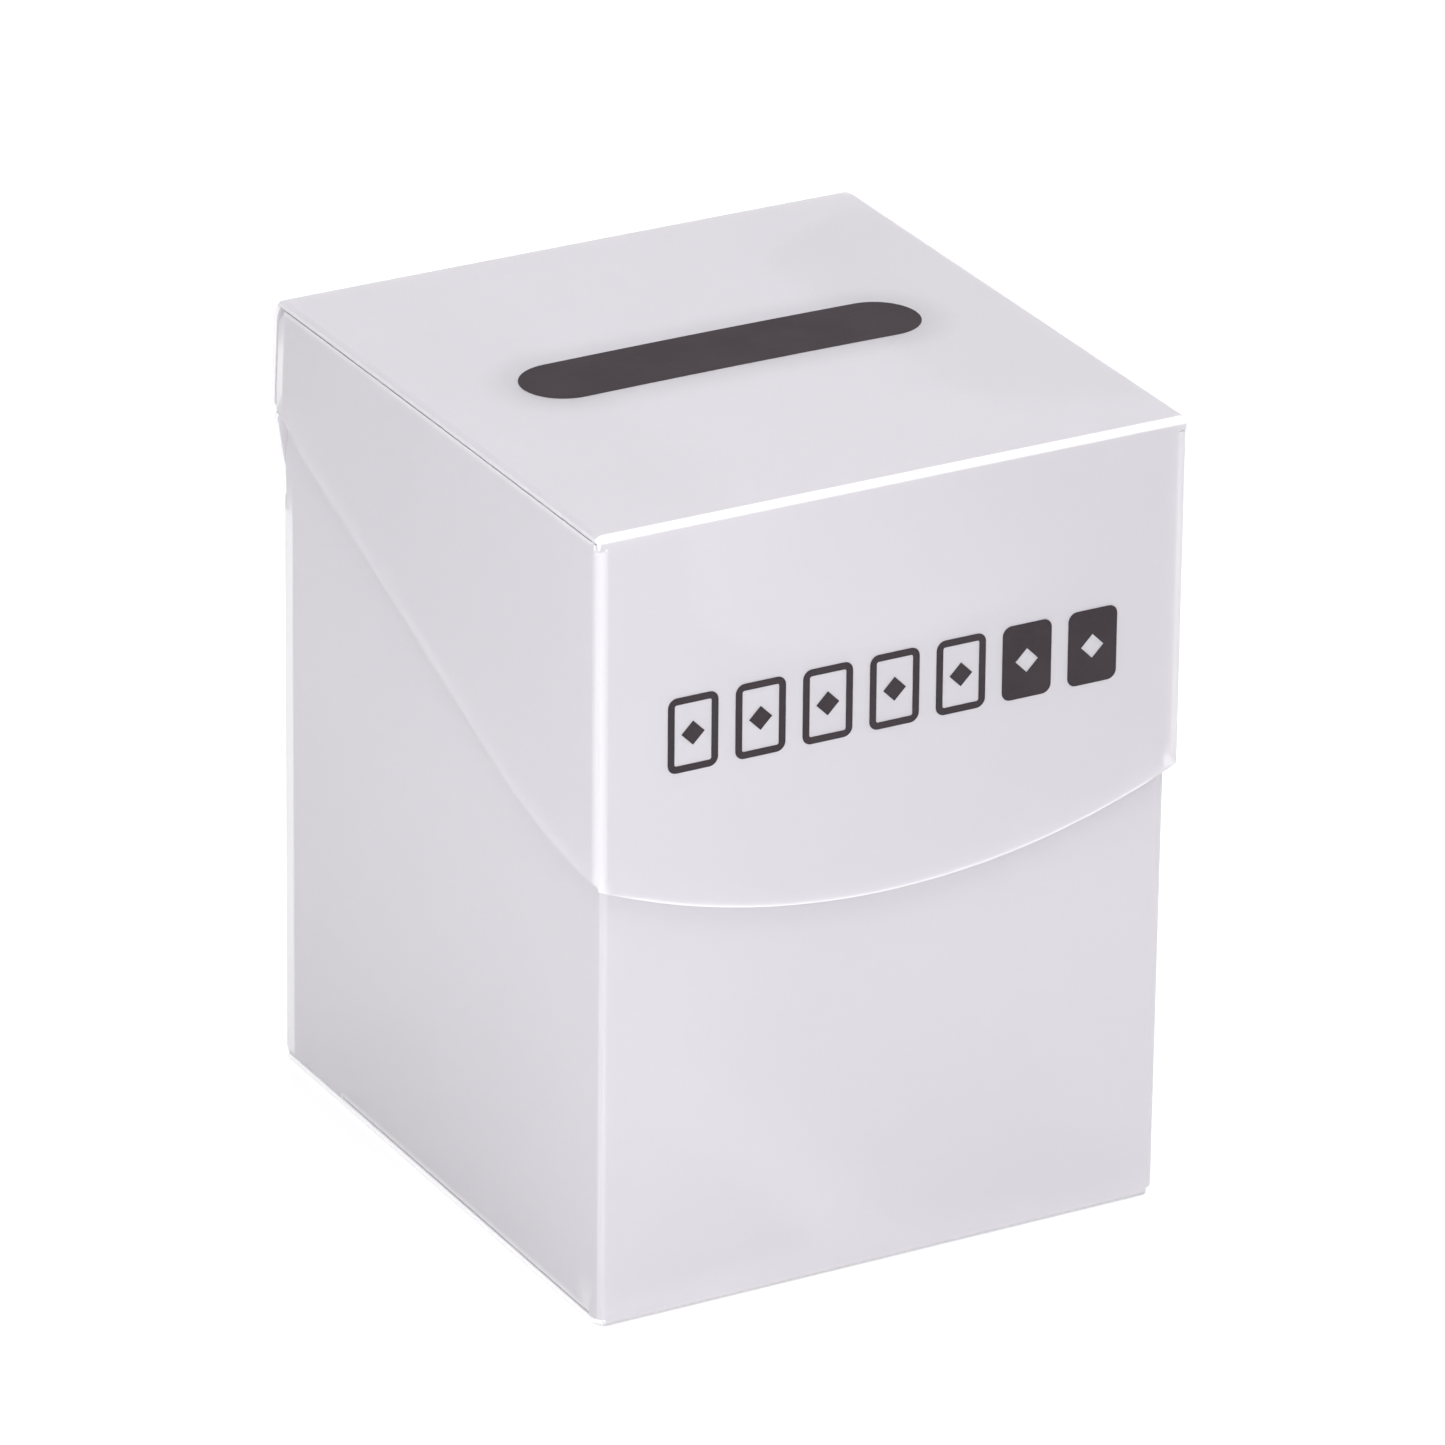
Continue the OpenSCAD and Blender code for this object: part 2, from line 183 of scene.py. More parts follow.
# The foot of the box: where the upright folds start, and the cuts at the corners.
CORNER_LOW = 0.95
FOOT_BACK_CUT = 0.3
FOOT_FRONT_CUT = 0.2
NOTCH = 0.15
BOTTOM_INSET = 0.02
BOTTOM_CORNER = 1.0
BOTTOM_FRONT_CUT = 0.1

# Inner flaps and tabs.
BOTTOM_FLAP_Y = (-36.2, 24.2)
BOTTOM_FLAP_INNER_X = 5.3
LEAD_IN = 3.0
REAR_TAB_X = 34.3
REAR_TAB_DEPTH = 13.0
REAR_TAB_TAPER = 5.0
REAR_TAB_FLARE = 0.2
SEAM_TAB_W = 12.0
SEAM_TAB_BACK_GAP = 0.1
SEAM_TAB_TOP_GAP = 1.0
TOP_TAB_X = 17.6
TOP_TAB_CHAMFER = 5.0
TOP_TAB_FRONT_SLANT = 0.5
TOP_TAB_Y = (-38.4, 36.8)
EAR_TAB_Z = (82.9, 93.9)
EAR_TAB_W = 10.0
EAR_TAB_TAPER = 1.0

# The top panel and the back strip end this far inside the ears' outer faces, and further in at their folds.
LID_INSET = 0.05
FRONT_CUT = 0.15
REAR_CUT = 0.2
TOP_CORNER = 0.2
STRIP_CORNER = (0.5, 0.8)
# The top panel's side edges turn down this far, onto the ears, over these distances from the ears' faces.
EDGE_CURL = 0.26
CURL_DEPTHS = (0.8, 0.62, 0.45, 0.3)
CURL_END = 0.1
# The relief cut where three folds meet, and half its height.
RELIEF_Z = 95.0
RELIEF_HALF = 0.05
RELIEF_IN = 0.1
EAR_RELIEF_RISE = 0.3


# ---- camera, floor and light ----

CAMERA_AZIMUTH = math.radians(-29.252)
CAMERA_ELEVATION = math.radians(24.552)
CAMERA_ROLL = math.radians(0.841)
CAMERA_DISTANCE = 1205.0
CAMERA_TARGET = Vector((0.443, 0, 51.063))
CAMERA_LENS = 263.2


def add_camera():
    """The camera at the photograph's viewing angle."""
    back = Vector((
        math.sin(CAMERA_AZIMUTH) * math.cos(CAMERA_ELEVATION),
        -math.cos(CAMERA_AZIMUTH) * math.cos(CAMERA_ELEVATION),
        math.sin(CAMERA_ELEVATION),
    ))
    level_right = (-back).cross(Z).normalized()
    level_up = back.cross(level_right)
    right = math.cos(CAMERA_ROLL) * level_right + math.sin(CAMERA_ROLL) * level_up
    up = math.cos(CAMERA_ROLL) * level_up - math.sin(CAMERA_ROLL) * level_right
    data = bpy.data.cameras.new("camera")
    data.lens = CAMERA_LENS
    data.sensor_width = 36
    data.clip_start = 0.01
    data.clip_end = 50
    camera = bpy.data.objects.new("camera", data)
    bpy.context.scene.collection.objects.link(camera)
    place = (CAMERA_TARGET + back * CAMERA_DISTANCE) * MM
    turn = Matrix((right, up, back)).transposed().to_4x4()
    camera.matrix_world = Matrix.Translation(place) @ turn
    bpy.context.scene.camera = camera


FLOOR_HALF = 6.0
FLOOR_TONES = ((0.63, 0.63, 0.63, 1), (0.645, 0.645, 0.645, 1))
FLOOR_GLOW = 0.34


def add_floor():
    """A wide pale floor."""
    corners = [(FLOOR_HALF * x, FLOOR_HALF * y, 0) for x, y in ((-1, -1), (1, -1), (1, 1), (-1, 1))]
    mesh = bpy.data.meshes.new("floor")
    mesh.from_pydata(corners, [], [(0, 1, 2, 3)])
    floor = bpy.data.objects.new("floor", mesh)
    bpy.context.scene.collection.objects.link(floor)
    material, tree, surface = new_material("pale_floor")
    set_inputs(surface, {"Roughness": 0.85, "Specular IOR Level": 0.2})
    set_inputs(surface, {"Emission Color": (1.0, 1.0, 1.0, 1), "Emission Strength": FLOOR_GLOW})
    coordinates = tree.nodes.new("ShaderNodeTexCoord")
    mottle = noise(tree, coordinates, scale=9, detail=3)
    tree.links.new(mix_color(tree, mottle, *FLOOR_TONES), surface.inputs["Base Color"])
    mesh.materials.append(material)


# The surround is brightest on one side.
SURROUND_COLOR = (0.985, 0.985, 1.0, 1)
BRIGHT_SIDE = (0.7, -0.6, 0.4)
SURROUND_DIM = 0.05
SURROUND_BRIGHT = 1.05

# Places and sizes are in metres, and powers in watts.
NEAR_LIGHT = {"place": (-0.24, -0.20, 0.03), "target": (-0.037, -0.03, 0.02), "size": 0.25, "power": 0.75}
NEAR_COLOR = (0.97, 0.975, 1.0)
TOP_LIGHT = {"place": (0.0, -0.1, 1.4), "target": (0, 0, 0.05), "size": 1.2, "power": 19.0}


def add_area_light(name, place, target, size, power, color=(1, 1, 1)):
    """A soft square light at place, aimed at target, all in metres."""
    data = bpy.data.lights.new(name, "AREA")
    data.shape = "SQUARE"
    data.size = size
    data.energy = power
    data.color = color
    light = bpy.data.objects.new(name, data)
    bpy.context.scene.collection.objects.link(light)
    light.location = place
    light.rotation_euler = (Vector(target) - Vector(place)).to_track_quat("-Z", "Y").to_euler()


def add_lights():
    """A surround that is brighter on one side, a light near the lower front left, and one above."""
    world = bpy.data.worlds.new("surround")
    world.use_nodes = True
    tree = world.node_tree
    background = tree.nodes["Background"]
    background.inputs["Color"].default_value = SURROUND_COLOR
    coordinates = tree.nodes.new("ShaderNodeTexCoord")
    lean = tree.nodes.new("ShaderNodeVectorMath")
    lean.operation = "DOT_PRODUCT"
    lean.inputs[1].default_value = Vector(BRIGHT_SIDE).normalized()
    tree.links.new(coordinates.outputs["Generated"], lean.inputs[0])
    strength = remap(tree, lean.outputs["Value"], -1.0, 1.0, SURROUND_DIM, SURROUND_BRIGHT)
    tree.links.new(strength, background.inputs["Strength"])
    bpy.context.scene.world = world
    add_area_light("near_light", **NEAR_LIGHT, color=NEAR_COLOR)
    add_area_light("top_light", **TOP_LIGHT)
    bpy.context.scene.view_settings.view_transform = "Standard"


# ---- materials ----

SHEET_TONES = ((0.795, 0.772, 0.812, 1), (0.815, 0.792, 0.830, 1))
# The white painted at the folds: stress whitening with a painted highlight.
CREASE_WHITE_AND_HIGHLIGHT_TONE = (1.0, 1.0, 1.0, 1)
# The painted highlight on the cut edges.
RIM_HIGHLIGHT_TONE = (0.985, 0.98, 0.985, 1)
SHEET_ROUGHNESS = (0.30, 0.38)
SHEET_IOR = 1.49
# How clear the plain sheet is, and the sheet where it is painted white by stress whitening and painted
# highlights.
SHEET_CLEAR = (0.50, 0.25)
# The painted shade round the bar, standing in for the ink's shadow seen through the sheet: its width, and
# what it leaves at its darkest.
BAR_SHADE_WIDTH = 5.0
BAR_SHADE_DARKEST = 0.9

INK_TONES = ((0.018, 0.0125, 0.016, 1), (0.038, 0.029, 0.034, 1))
INK_CLOUD_TONE = (0.044, 0.034, 0.040, 1)
INK_CLOUD_MOST = 0.3
INK_ROUGHNESS = (0.5, 0.62)

# The middle part of a noise's values.
NOISE_RANGE = (0.3, 0.7)


def set_inputs(node, values):
    """Gives a node's inputs constant values, by name."""
    for name, value in values.items():
        node.inputs[name].default_value = value


def new_material(name):
    """A material with a plain Principled surface: (material, its node tree, the surface)."""
    material = bpy.data.materials.new(name)
    material.use_nodes = True
    return material, material.node_tree, material.node_tree.nodes["Principled BSDF"]


def noise(tree, coordinates, scale, detail=2.0, roughness=0.5):
    """The value of a noise over the object's own metres."""
    node = tree.nodes.new("ShaderNodeTexNoise")
    set_inputs(node, {"Scale": scale, "Detail": detail, "Roughness": roughness})
    tree.links.new(coordinates.outputs["Object"], node.inputs["Vector"])
    return node.outputs["Fac"]


def remap(tree, value, from_low, from_high, to_low, to_high):
    """value, clamped to the first range and moved to the second."""
    node = tree.nodes.new("ShaderNodeMapRange")
    node.interpolation_type = "SMOOTHSTEP"
    set_inputs(node, {"From Min": from_low, "From Max": from_high, "To Min": to_low, "To Max": to_high})
    tree.links.new(value, node.inputs["Value"])
    return node.outputs["Result"]


def mix_color(tree, factor, color_a, color_b):
    """Mixes two colours, each a socket or four numbers."""
    node = tree.nodes.new("ShaderNodeMix")
    node.data_type = "RGBA"
    tree.links.new(factor, node.inputs["Factor"])
    for name, color in (("A", color_a), ("B", color_b)):
        if isinstance(color, bpy.types.NodeSocket):
            tree.links.new(color, node.inputs[name])
        else:
            node.inputs[name].default_value = color
    return node.outputs["Result"]


def math_node(tree, operation, *values):
    """A Math node whose inputs are sockets or numbers."""
    node = tree.nodes.new("ShaderNodeMath")
    node.operation = operation
    for i, value in enumerate(values):
        if isinstance(value, bpy.types.NodeSocket):
            tree.links.new(value, node.inputs[i])
        else:
            node.inputs[i].default_value = value
    return node.outputs["Value"]


def add_bump(tree, surface, height, strength, distance):
    """Bumps a surface by a height, which distance scales to metres."""
    bump = tree.nodes.new("ShaderNodeBump")
    set_inputs(bump, {"Strength": strength, "Distance": distance})
    tree.links.new(height, bump.inputs["Height"])
    tree.links.new(bump.outputs["Normal"], surface.inputs["Normal"])


def mesh_value(tree, name):
    """The value of one of the mesh's own attributes."""
    node = tree.nodes.new("ShaderNodeAttribute")
    node.attribute_name = name
    return node.outputs["Fac"]


def bar_painted_shade(tree, coordinates):
    """Painted shade round the bar on the top panel, standing in for the ink's shadow seen through the sheet:
    darkest at its outline, and gone the shade's width beyond it.
    """
    offset = tree.nodes.new("ShaderNodeVectorMath")
    offset.operation = "SUBTRACT"
    offset.inputs[1].default_value = Vector((BAR_X, BAR_Y, LID_TOP)) * MM
    tree.links.new(coordinates.outputs["Object"], offset.inputs[0])
    parts = tree.nodes.new("ShaderNodeSeparateXYZ")
    tree.links.new(offset.outputs["Vector"], parts.inputs["Vector"])
    past_low = math_node(tree, "MAXIMUM", parts.outputs["X"], -BAR_STRAIGHT * MM)
    along = math_node(tree, "MINIMUM", past_low, BAR_STRAIGHT * MM)
    nearest = tree.nodes.new("ShaderNodeCombineXYZ")
    tree.links.new(along, nearest.inputs["X"])
    away = tree.nodes.new("ShaderNodeVectorMath")
    away.operation = "DISTANCE"
    tree.links.new(offset.outputs["Vector"], away.inputs[0])
    tree.links.new(nearest.outputs["Vector"], away.inputs[1])
    return remap(tree, away.outputs["Value"], BAR_R * MM, (BAR_R + BAR_SHADE_WIDTH) * MM, BAR_SHADE_DARKEST, 1.0)


def frosted_material():
    """Milky polypropylene sheet: see-through but blurred, paler in its creases (stress whitening with a
    painted highlight) and along its cut edges (a painted highlight), and with painted shade round the printed
    bar.
    """
    material, tree, surface = new_material("frosted_polypropylene")
    coordinates = tree.nodes.new("ShaderNodeTexCoord")
    cloud = noise(tree, coordinates, scale=55, detail=3)
    grain = noise(tree, coordinates, scale=2600, detail=2)
    # The mesh's white at the folds, stress whitening with a painted highlight, with the painted highlight
    # beside shining cut edges.
    crease = mesh_value(tree, "crease")
    # The painted highlight on the cut edges.
    rim = mesh_value(tree, "rim")
    sheet = mix_color(tree, cloud, *SHEET_TONES)
    creased = mix_color(tree, crease, sheet, CREASE_WHITE_AND_HIGHLIGHT_TONE)
    whole = mix_color(tree, rim, creased, RIM_HIGHLIGHT_TONE)
    # Painted shade round the printed bar, standing in for the ink's shadow seen through the sheet.
    dim = tree.nodes.new("ShaderNodeVectorMath")
    dim.operation = "SCALE"
    tree.links.new(whole, dim.inputs[0])
    tree.links.new(bar_painted_shade(tree, coordinates), dim.inputs["Scale"])
    tree.links.new(dim.outputs["Vector"], surface.inputs["Base Color"])
    tree.links.new(remap(tree, grain, *NOISE_RANGE, *SHEET_ROUGHNESS), surface.inputs["Roughness"])
    paleness_and_highlight = math_node(tree, "MAXIMUM", crease, rim)
    tree.links.new(remap(tree, paleness_and_highlight, 0.0, 1.0, *SHEET_CLEAR), surface.inputs["Transmission Weight"])
    surface.inputs["IOR"].default_value = SHEET_IOR
    add_bump(tree, surface, grain, strength=0.08, distance=0.00002)
    return material


def ink_material():
    """Satin dark grey screen ink with a fine mottle."""
    material, tree, surface = new_material("screen_ink")
    coordinates = tree.nodes.new("ShaderNodeTexCoord")
    grain = noise(tree, coordinates, scale=1500, detail=4, roughness=0.65)
    cloud = noise(tree, coordinates, scale=160, detail=2)
    dark = mix_color(tree, grain, *INK_TONES)
    share = remap(tree, cloud, *NOISE_RANGE, 0.0, INK_CLOUD_MOST)
    tree.links.new(mix_color(tree, share, dark, INK_CLOUD_TONE), surface.inputs["Base Color"])
    tree.links.new(remap(tree, grain, *NOISE_RANGE, *INK_ROUGHNESS), surface.inputs["Roughness"])
    surface.inputs["Specular IOR Level"].default_value = 0.2
    add_bump(tree, surface, grain, strength=0.15, distance=0.00001)
    return material


# ---- how the sheet bends as it stands ----

def smooth(low_edge, high_edge, value):
    """0 below low_edge, 1 above high_edge, and a smooth curve between."""
    t = min(max((value - low_edge) / (high_edge - low_edge), 0.0), 1.0)
    return t * t * (3 - 2 * t)


BOX_LEAN = 0.5
FLAP_LEAN = (0.25, 0.55)
STRIP_LEAN = (0.15, 0.75)
DOME_HEIGHT = 0.4
DOME_X = -3.0
DOME_SPARE = (2.0, 1.0)


def box_sag(p):
    """The front wall leans in a little towards its open top."""
    frontness = (BOX_Y - p.y) / (2 * BOX_Y)
    return p + Y * (BOX_LEAN * frontness * p.z / WALL_TOP)


def lid_sag(p):
    """The flap and the back strip lean in towards the top, and the top panel domes and curls at its sides."""
    frontness = (LID_BACK - p.y) / (LID_BACK + LID_FRONT)
    rise = (p.z - FLAP_LOW) / (LID_TOP - FLAP_LOW)
    front_lean = FLAP_LEAN[0] + FLAP_LEAN[1] * rise
    back_lean = STRIP_LEAN[0] + STRIP_LEAN[1] * smooth(HINGE.z, LID_TOP, p.z)
    across = max(1 - ((p.x - DOME_X) / (LID_X + DOME_SPARE[0])) ** 2, 0.0)
    along = max(1 - (p.y / (LID_BACK + DOME_SPARE[1])) ** 2, 0.0)
    dome = DOME_HEIGHT * across * along * smooth(LID_TOP - 4, LID_TOP - 1, p.z)
    near_side = smooth(LID_X - CURL_DEPTHS[0], LID_X - CURL_END, abs(p.x))
    curl = EDGE_CURL * near_side * smooth(LID_TOP - 0.7, LID_TOP - 0.4, p.z)
    return p + Y * (front_lean * frontness - back_lean * (1 - frontness)) + Z * (dome - curl)


# ---- folded sheet ----

# A panel's slope is measured over twice this.
SLOPE_STEP = 0.004
# The mesh lines' crossings keep this far from the outlines.
GRID_CLEAR = 0.08
GRID_SPARE = 0.02
# An outline's crossings with mesh lines are this far from its corners, and from each other.
CORNER_CLEAR = 0.16
CROSSING_CLEAR = 0.03
# Two lines of an outline count as one if the sine of their turn is under this.
STRAIGHT_ON = 0.15
# A region is a stray if its widest triangle is smaller than this, in square millimetres.
STRAY_AREA = 1e-4
# Two edges are shaded as one if their normals' dot product is over this.
SAME_WAY = 0.8


def half_fold(radius):
    """The length along the middle of the sheet of half a right-angled fold of this outer radius."""
    return (radius - SHEET / 2) * math.pi / 4 - MITRE_GAP


class Fold:
    """A fold along one side of a panel: past `at` along an axis (0 is u, 1 is v), the sheet turns inward."""

    def __init__(self, axis, sign, at, radius, start=-1000.0, end=1000.0, pale=0.4, band=0.2):
        self.axis = axis
        self.sign = sign
        self.at = at
        self.radius = radius - SHEET / 2
        self.start = start
        self.end = end
        self.pale = pale
        self.band = band

    def past(self, u, v):
        """How far (u, v) lies past the start of the fold, negative before it, or None beside it."""
        along = v if self.axis == 0 else u
        if not self.start <= along <= self.end:
            return None
        return self.sign * ((u if self.axis == 0 else v) - self.at)


def side_folds(at, radius, **details):
    """The same fold on the right and on the left of a panel."""
    return [Fold(0, sign, sign * at, radius, **details) for sign in (1, -1)]


class Panel:
    """One flat panel of sheet: its middle plane, its folds and the way it bends as it stands."""

    def __init__(self, origin, across, along, sag, folds=(), bulge=None, bends=()):
        self.origin = Vector(origin)
        self.across = Vector(across)
        self.along = Vector(along)
        self.outward = self.across.cross(self.along)
        self.sag = sag
        self.folds = folds
        self.bulge = bulge
        self.bends = bends

    def middle(self, u, v):
        """The point of the sheet's middle surface at (u, v)."""
        flat = [u, v]
        depth = -self.bulge(u, v) if self.bulge else 0.0
        for fold in self.folds:
            past = fold.past(u, v)
            if past is not None and past > 0:
                turn = past / fold.radius
                flat[fold.axis] = fold.at + fold.sign * fold.radius * math.sin(turn)
                depth += fold.radius * (1 - math.cos(turn))
        return self.sag(self.origin + self.across * flat[0] + self.along * flat[1] - self.outward * depth)

    def normal(self, u, v):
        """The outward normal of the middle surface at (u, v)."""
        du = self.middle(u + SLOPE_STEP, v) - self.middle(u - SLOPE_STEP, v)
        dv = self.middle(u, v + SLOPE_STEP) - self.middle(u, v - SLOPE_STEP)
        return du.cross(dv).normalized()

    def crease(self, u, v):
        """How pale the sheet is painted, stress whitening with a painted highlight: as much as a fold is,
        over the fold and the band beside it.
        """
        value = 0.0
        for fold in self.folds:
            past = fold.past(u, v)
            if past is not None:
                value = max(value, fold.pale * smooth(-fold.band - BAND_EDGE, -fold.band, past))
        return value

    def lines(self, axis, first, last, spacing):
        """Where the mesh has lines along an axis: evenly over the flat part, and closely over each fold."""
        count = max(round((last - first) / spacing), 1)
        places = [first + (last - first) * i / count for i in range(1, count)]
        for fold in self.folds:
            if fold.axis == axis:
                outer = min(-fold.band - BAND_EDGE, 0.0)
                places = [p for p in places if fold.sign * (p - fold.at) < outer - spacing / 4]
                reach = fold.radius * math.pi / 4
                for step in sorted({outer, min(outer + BAND_EDGE / 2, 0.0), min(-fold.band, 0.0), 0.0}):
                    places.append(fold.at + fold.sign * step)
                for part in (0.2, 0.4, 0.6, 0.8):
                    places.append(fold.at + fold.sign * part * reach)
        if axis == 0:
            places += self.bends
        return sorted(places)


def arc(centre_u, centre_v, radius, start, end, steps):
    """Points along an arc, from start to end in degrees, both ends included."""
    points = []
    for i in range(steps + 1):
        angle = math.radians(start + (end - start) * i / steps)
        points.append((centre_u + radius * math.cos(angle), centre_v + radius * math.sin(angle)))
    return points


def pairs(loop):
    """Each entry of a closed loop with the next one."""
    return zip(loop, loop[1:] + loop[:1])


def signed_area(loop):
    """Positive for a loop that runs anticlockwise."""
    total = 0.0
    for a, b in pairs(loop):
        total += a[0] * b[1] - b[0] * a[1]
    return total / 2


def split_loop(loop, columns, rows):
    """The loop with a point wherever it crosses a mesh line: (u, v, whether a mitre starts here)."""
    points = []
    for a, b in pairs(loop):
        crossings = []
        for axis, places in ((0, columns), (1, rows)):
            span = b[axis] - a[axis]
            if abs(span) > 1e-6:
                crossings += [(place - a[axis]) / span for place in places]
        length = math.hypot(b[0] - a[0], b[1] - a[1])
        kept = [0.0]
        for t in sorted(t for t in crossings if 0.0 < t < 1.0):
            if min(t, 1 - t) * length > CORNER_CLEAR and (t - kept[-1]) * length > CROSSING_CLEAR:
                kept.append(t)
        for t in kept:
            points.append((a[0] + (b[0] - a[0]) * t, a[1] + (b[1] - a[1]) * t, len(a) > 2))
    return points


def inset_loop(loop, amount):
    """The loop moved into the sheet by amount, except along its mitres."""
    count = len(loop)
    normals = []
    for a, b in pairs(loop):
        length = math.hypot(b[0] - a[0], b[1] - a[1])
        normals.append((-(b[1] - a[1]) / length, (b[0] - a[0]) / length))
    moved = []
    for i in range(count):
        n1, n2 = normals[i - 1], normals[i]
        d1 = 0.0 if loop[i - 1][2] else amount
        d2 = 0.0 if loop[i][2] else amount
        det = n1[0] * n2[1] - n1[1] * n2[0]
        if abs(det) < STRAIGHT_ON:
            du, dv = (n1[0] * d1 + n2[0] * d2) / 2, (n1[1] * d1 + n2[1] * d2) / 2
            if abs(d1 - d2) < 1e-9:
                du, dv = n2[0] * d2, n2[1] * d2
        else:
            du, dv = (d1 * n2[1] - d2 * n1[1]) / det, (d2 * n1[0] - d1 * n2[0]) / det
        moved.append((loop[i][0] + du, loop[i][1] + dv))
    return moved


def inside(loops, u, v):
    """True if (u, v) is inside the outlines and outside their holes."""
    crossings = 0
    for loop in loops:
        for a, b in pairs(loop):
            if (a[1] > v) != (b[1] > v) and u < a[0] + (v - a[1]) * (b[0] - a[0]) / (b[1] - a[1]):
                crossings += 1
    return crossings % 2 == 1


def open_between(loops, u, low_v, high_v):
    """True if no outline crosses the line from (u, low_v) to (u, high_v)."""
    for loop in loops:
        for a, b in pairs(loop):
            if (a[0] > u) != (b[0] > u):
                if low_v < a[1] + (u - a[0]) * (b[1] - a[1]) / (b[0] - a[0]) < high_v:
                    return False
    return True


def distance_along(path, u, v):
    """Distance from (u, v) to the nearest part of a path."""
    best = 1e9
    for a, b in zip(path, path[1:]):
        du, dv = b[0] - a[0], b[1] - a[1]
        t = ((u - a[0]) * du + (v - a[1]) * dv) / max(du * du + dv * dv, 1e-12)
        t = min(max(t, 0.0), 1.0)
        best = min(best, math.hypot(u - a[0] - du * t, v - a[1] - dv * t))
    return best


def distance_to(loops, u, v):
    """Distance from (u, v) to the nearest outline."""
    return min(distance_along(loop + loop[:1], u, v) for loop in loops)


def triangle_area(a, b, c):
    """The area of a flat triangle."""
    return abs((b.x - a.x) * (c.y - a.y) - (c.x - a.x) * (b.y - a.y)) / 2


def edges_of(ring):
    """The edges of a face or of a rim, whichever way they run."""
    return [frozenset(pair) for pair in pairs(ring)]


def regions(faces, barriers):
    """Groups the faces that can be reached from each other without crossing a barrier edge."""
    beside = {}
    for index, face in enumerate(faces):
        for edge in edges_of(face):
            beside.setdefault(edge, []).append(index)
    groups = []
    seen = set()
    for start in range(len(faces)):
        if start in seen:
            continue
        seen.add(start)
        group = []
        waiting = [start]
        while waiting:
            index = waiting.pop()
            group.append(faces[index])
            for edge in edges_of(faces[index]):
                reached = [] if edge in barriers else [other for other in beside[edge] if other not in seen]
                seen.update(reached)
                waiting += reached
        groups.append(group)
    return groups


def add_grid(loops, columns, rows, clearance, points, edges):
    """Adds the mesh lines' crossings inside the outlines, joined along each column."""
    for u in columns:
        previous = None
        for v in rows:
            if inside(loops, u, v) and distance_to(loops, u, v) > clearance:
                points.append((u, v))
                if previous is not None and open_between(loops, u, points[previous][1], v):
                    edges.append((previous, len(points) - 1))
                previous = len(points) - 1
            else:
                previous = None


def triangulate(loops, columns, rows, clearance, ring):
    """Triangles over the outlines: (points, triangles, the numbers of each outline's points).

    The mesh also has edges along ring, an open line of points.
    """
    points = []
    edges = []
    for loop in loops:
        first = len(points)
        points += loop
        edges += [(first + i, first + (i + 1) % len(loop)) for i in range(len(loop))]
    for i, point in enumerate(ring):
        points.append(point)
        if i:
            edges.append((len(points) - 2, len(points) - 1))
    add_grid(loops, columns, rows, clearance, points, edges)
    result = geometry.delaunay_2d_cdt([Vector(p) for p in points], edges, [], 0, 1e-7)
    flat, faces, origins = result[0], [list(face) for face in result[2]], result[3]
    new_index = {}
    for i, sources in enumerate(origins):
        for source in sources:
            new_index[source] = i
    rims = []
    barriers = set()
    first = 0
    for loop in loops:
        rim = [new_index[first + i] for i in range(len(loop))]
        barriers.update(edges_of(rim))
        rims.append(rim)
        first += len(loop)
    triangles = []
    for region in regions(faces, barriers):
        widest = max(region, key=lambda face: triangle_area(*(flat[i] for i in face)))
        centre = sum((flat[i] for i in widest), Vector((0, 0))) / 3
        if triangle_area(*(flat[i] for i in widest)) > STRAY_AREA and inside(loops, centre.x, centre.y):
            triangles += region
    return [(p.x, p.y) for p in flat], triangles, rims


def glow_ring(glow):
    """The line in the sheet, beside a cut edge, where its painted highlight ends."""
    ring = []
    for a, b in zip(glow, glow[1:]):
        length = math.hypot(b[0] - a[0], b[1] - a[1])
        ring.append((a[0] - (b[1] - a[1]) / length * GLOW_FAR, a[1] + (b[0] - a[0]) / length * GLOW_FAR))
    return ring


def edge_glow(glow, shine, u, v):
    """How much the painted highlight beside a cut edge whitens the sheet at (u, v)."""
    if not glow:
        return 0.0
    from_end = min(math.hypot(u - end[0], v - end[1]) for end in (glow[0], glow[-1]))
    fade = 1 - smooth(GLOW_NEAR, GLOW_FAR, distance_along(glow, u, v))
    return shine * smooth(0.0, GLOW_TAPER, from_end) * fade


def shared_normal(neighbour, own):
    """The normal where two edges meet: between theirs if they nearly agree, or else the edge's own."""
    if neighbour.dot(own) <= SAME_WAY:
        neighbour = own
    return (neighbour + own).normalized()


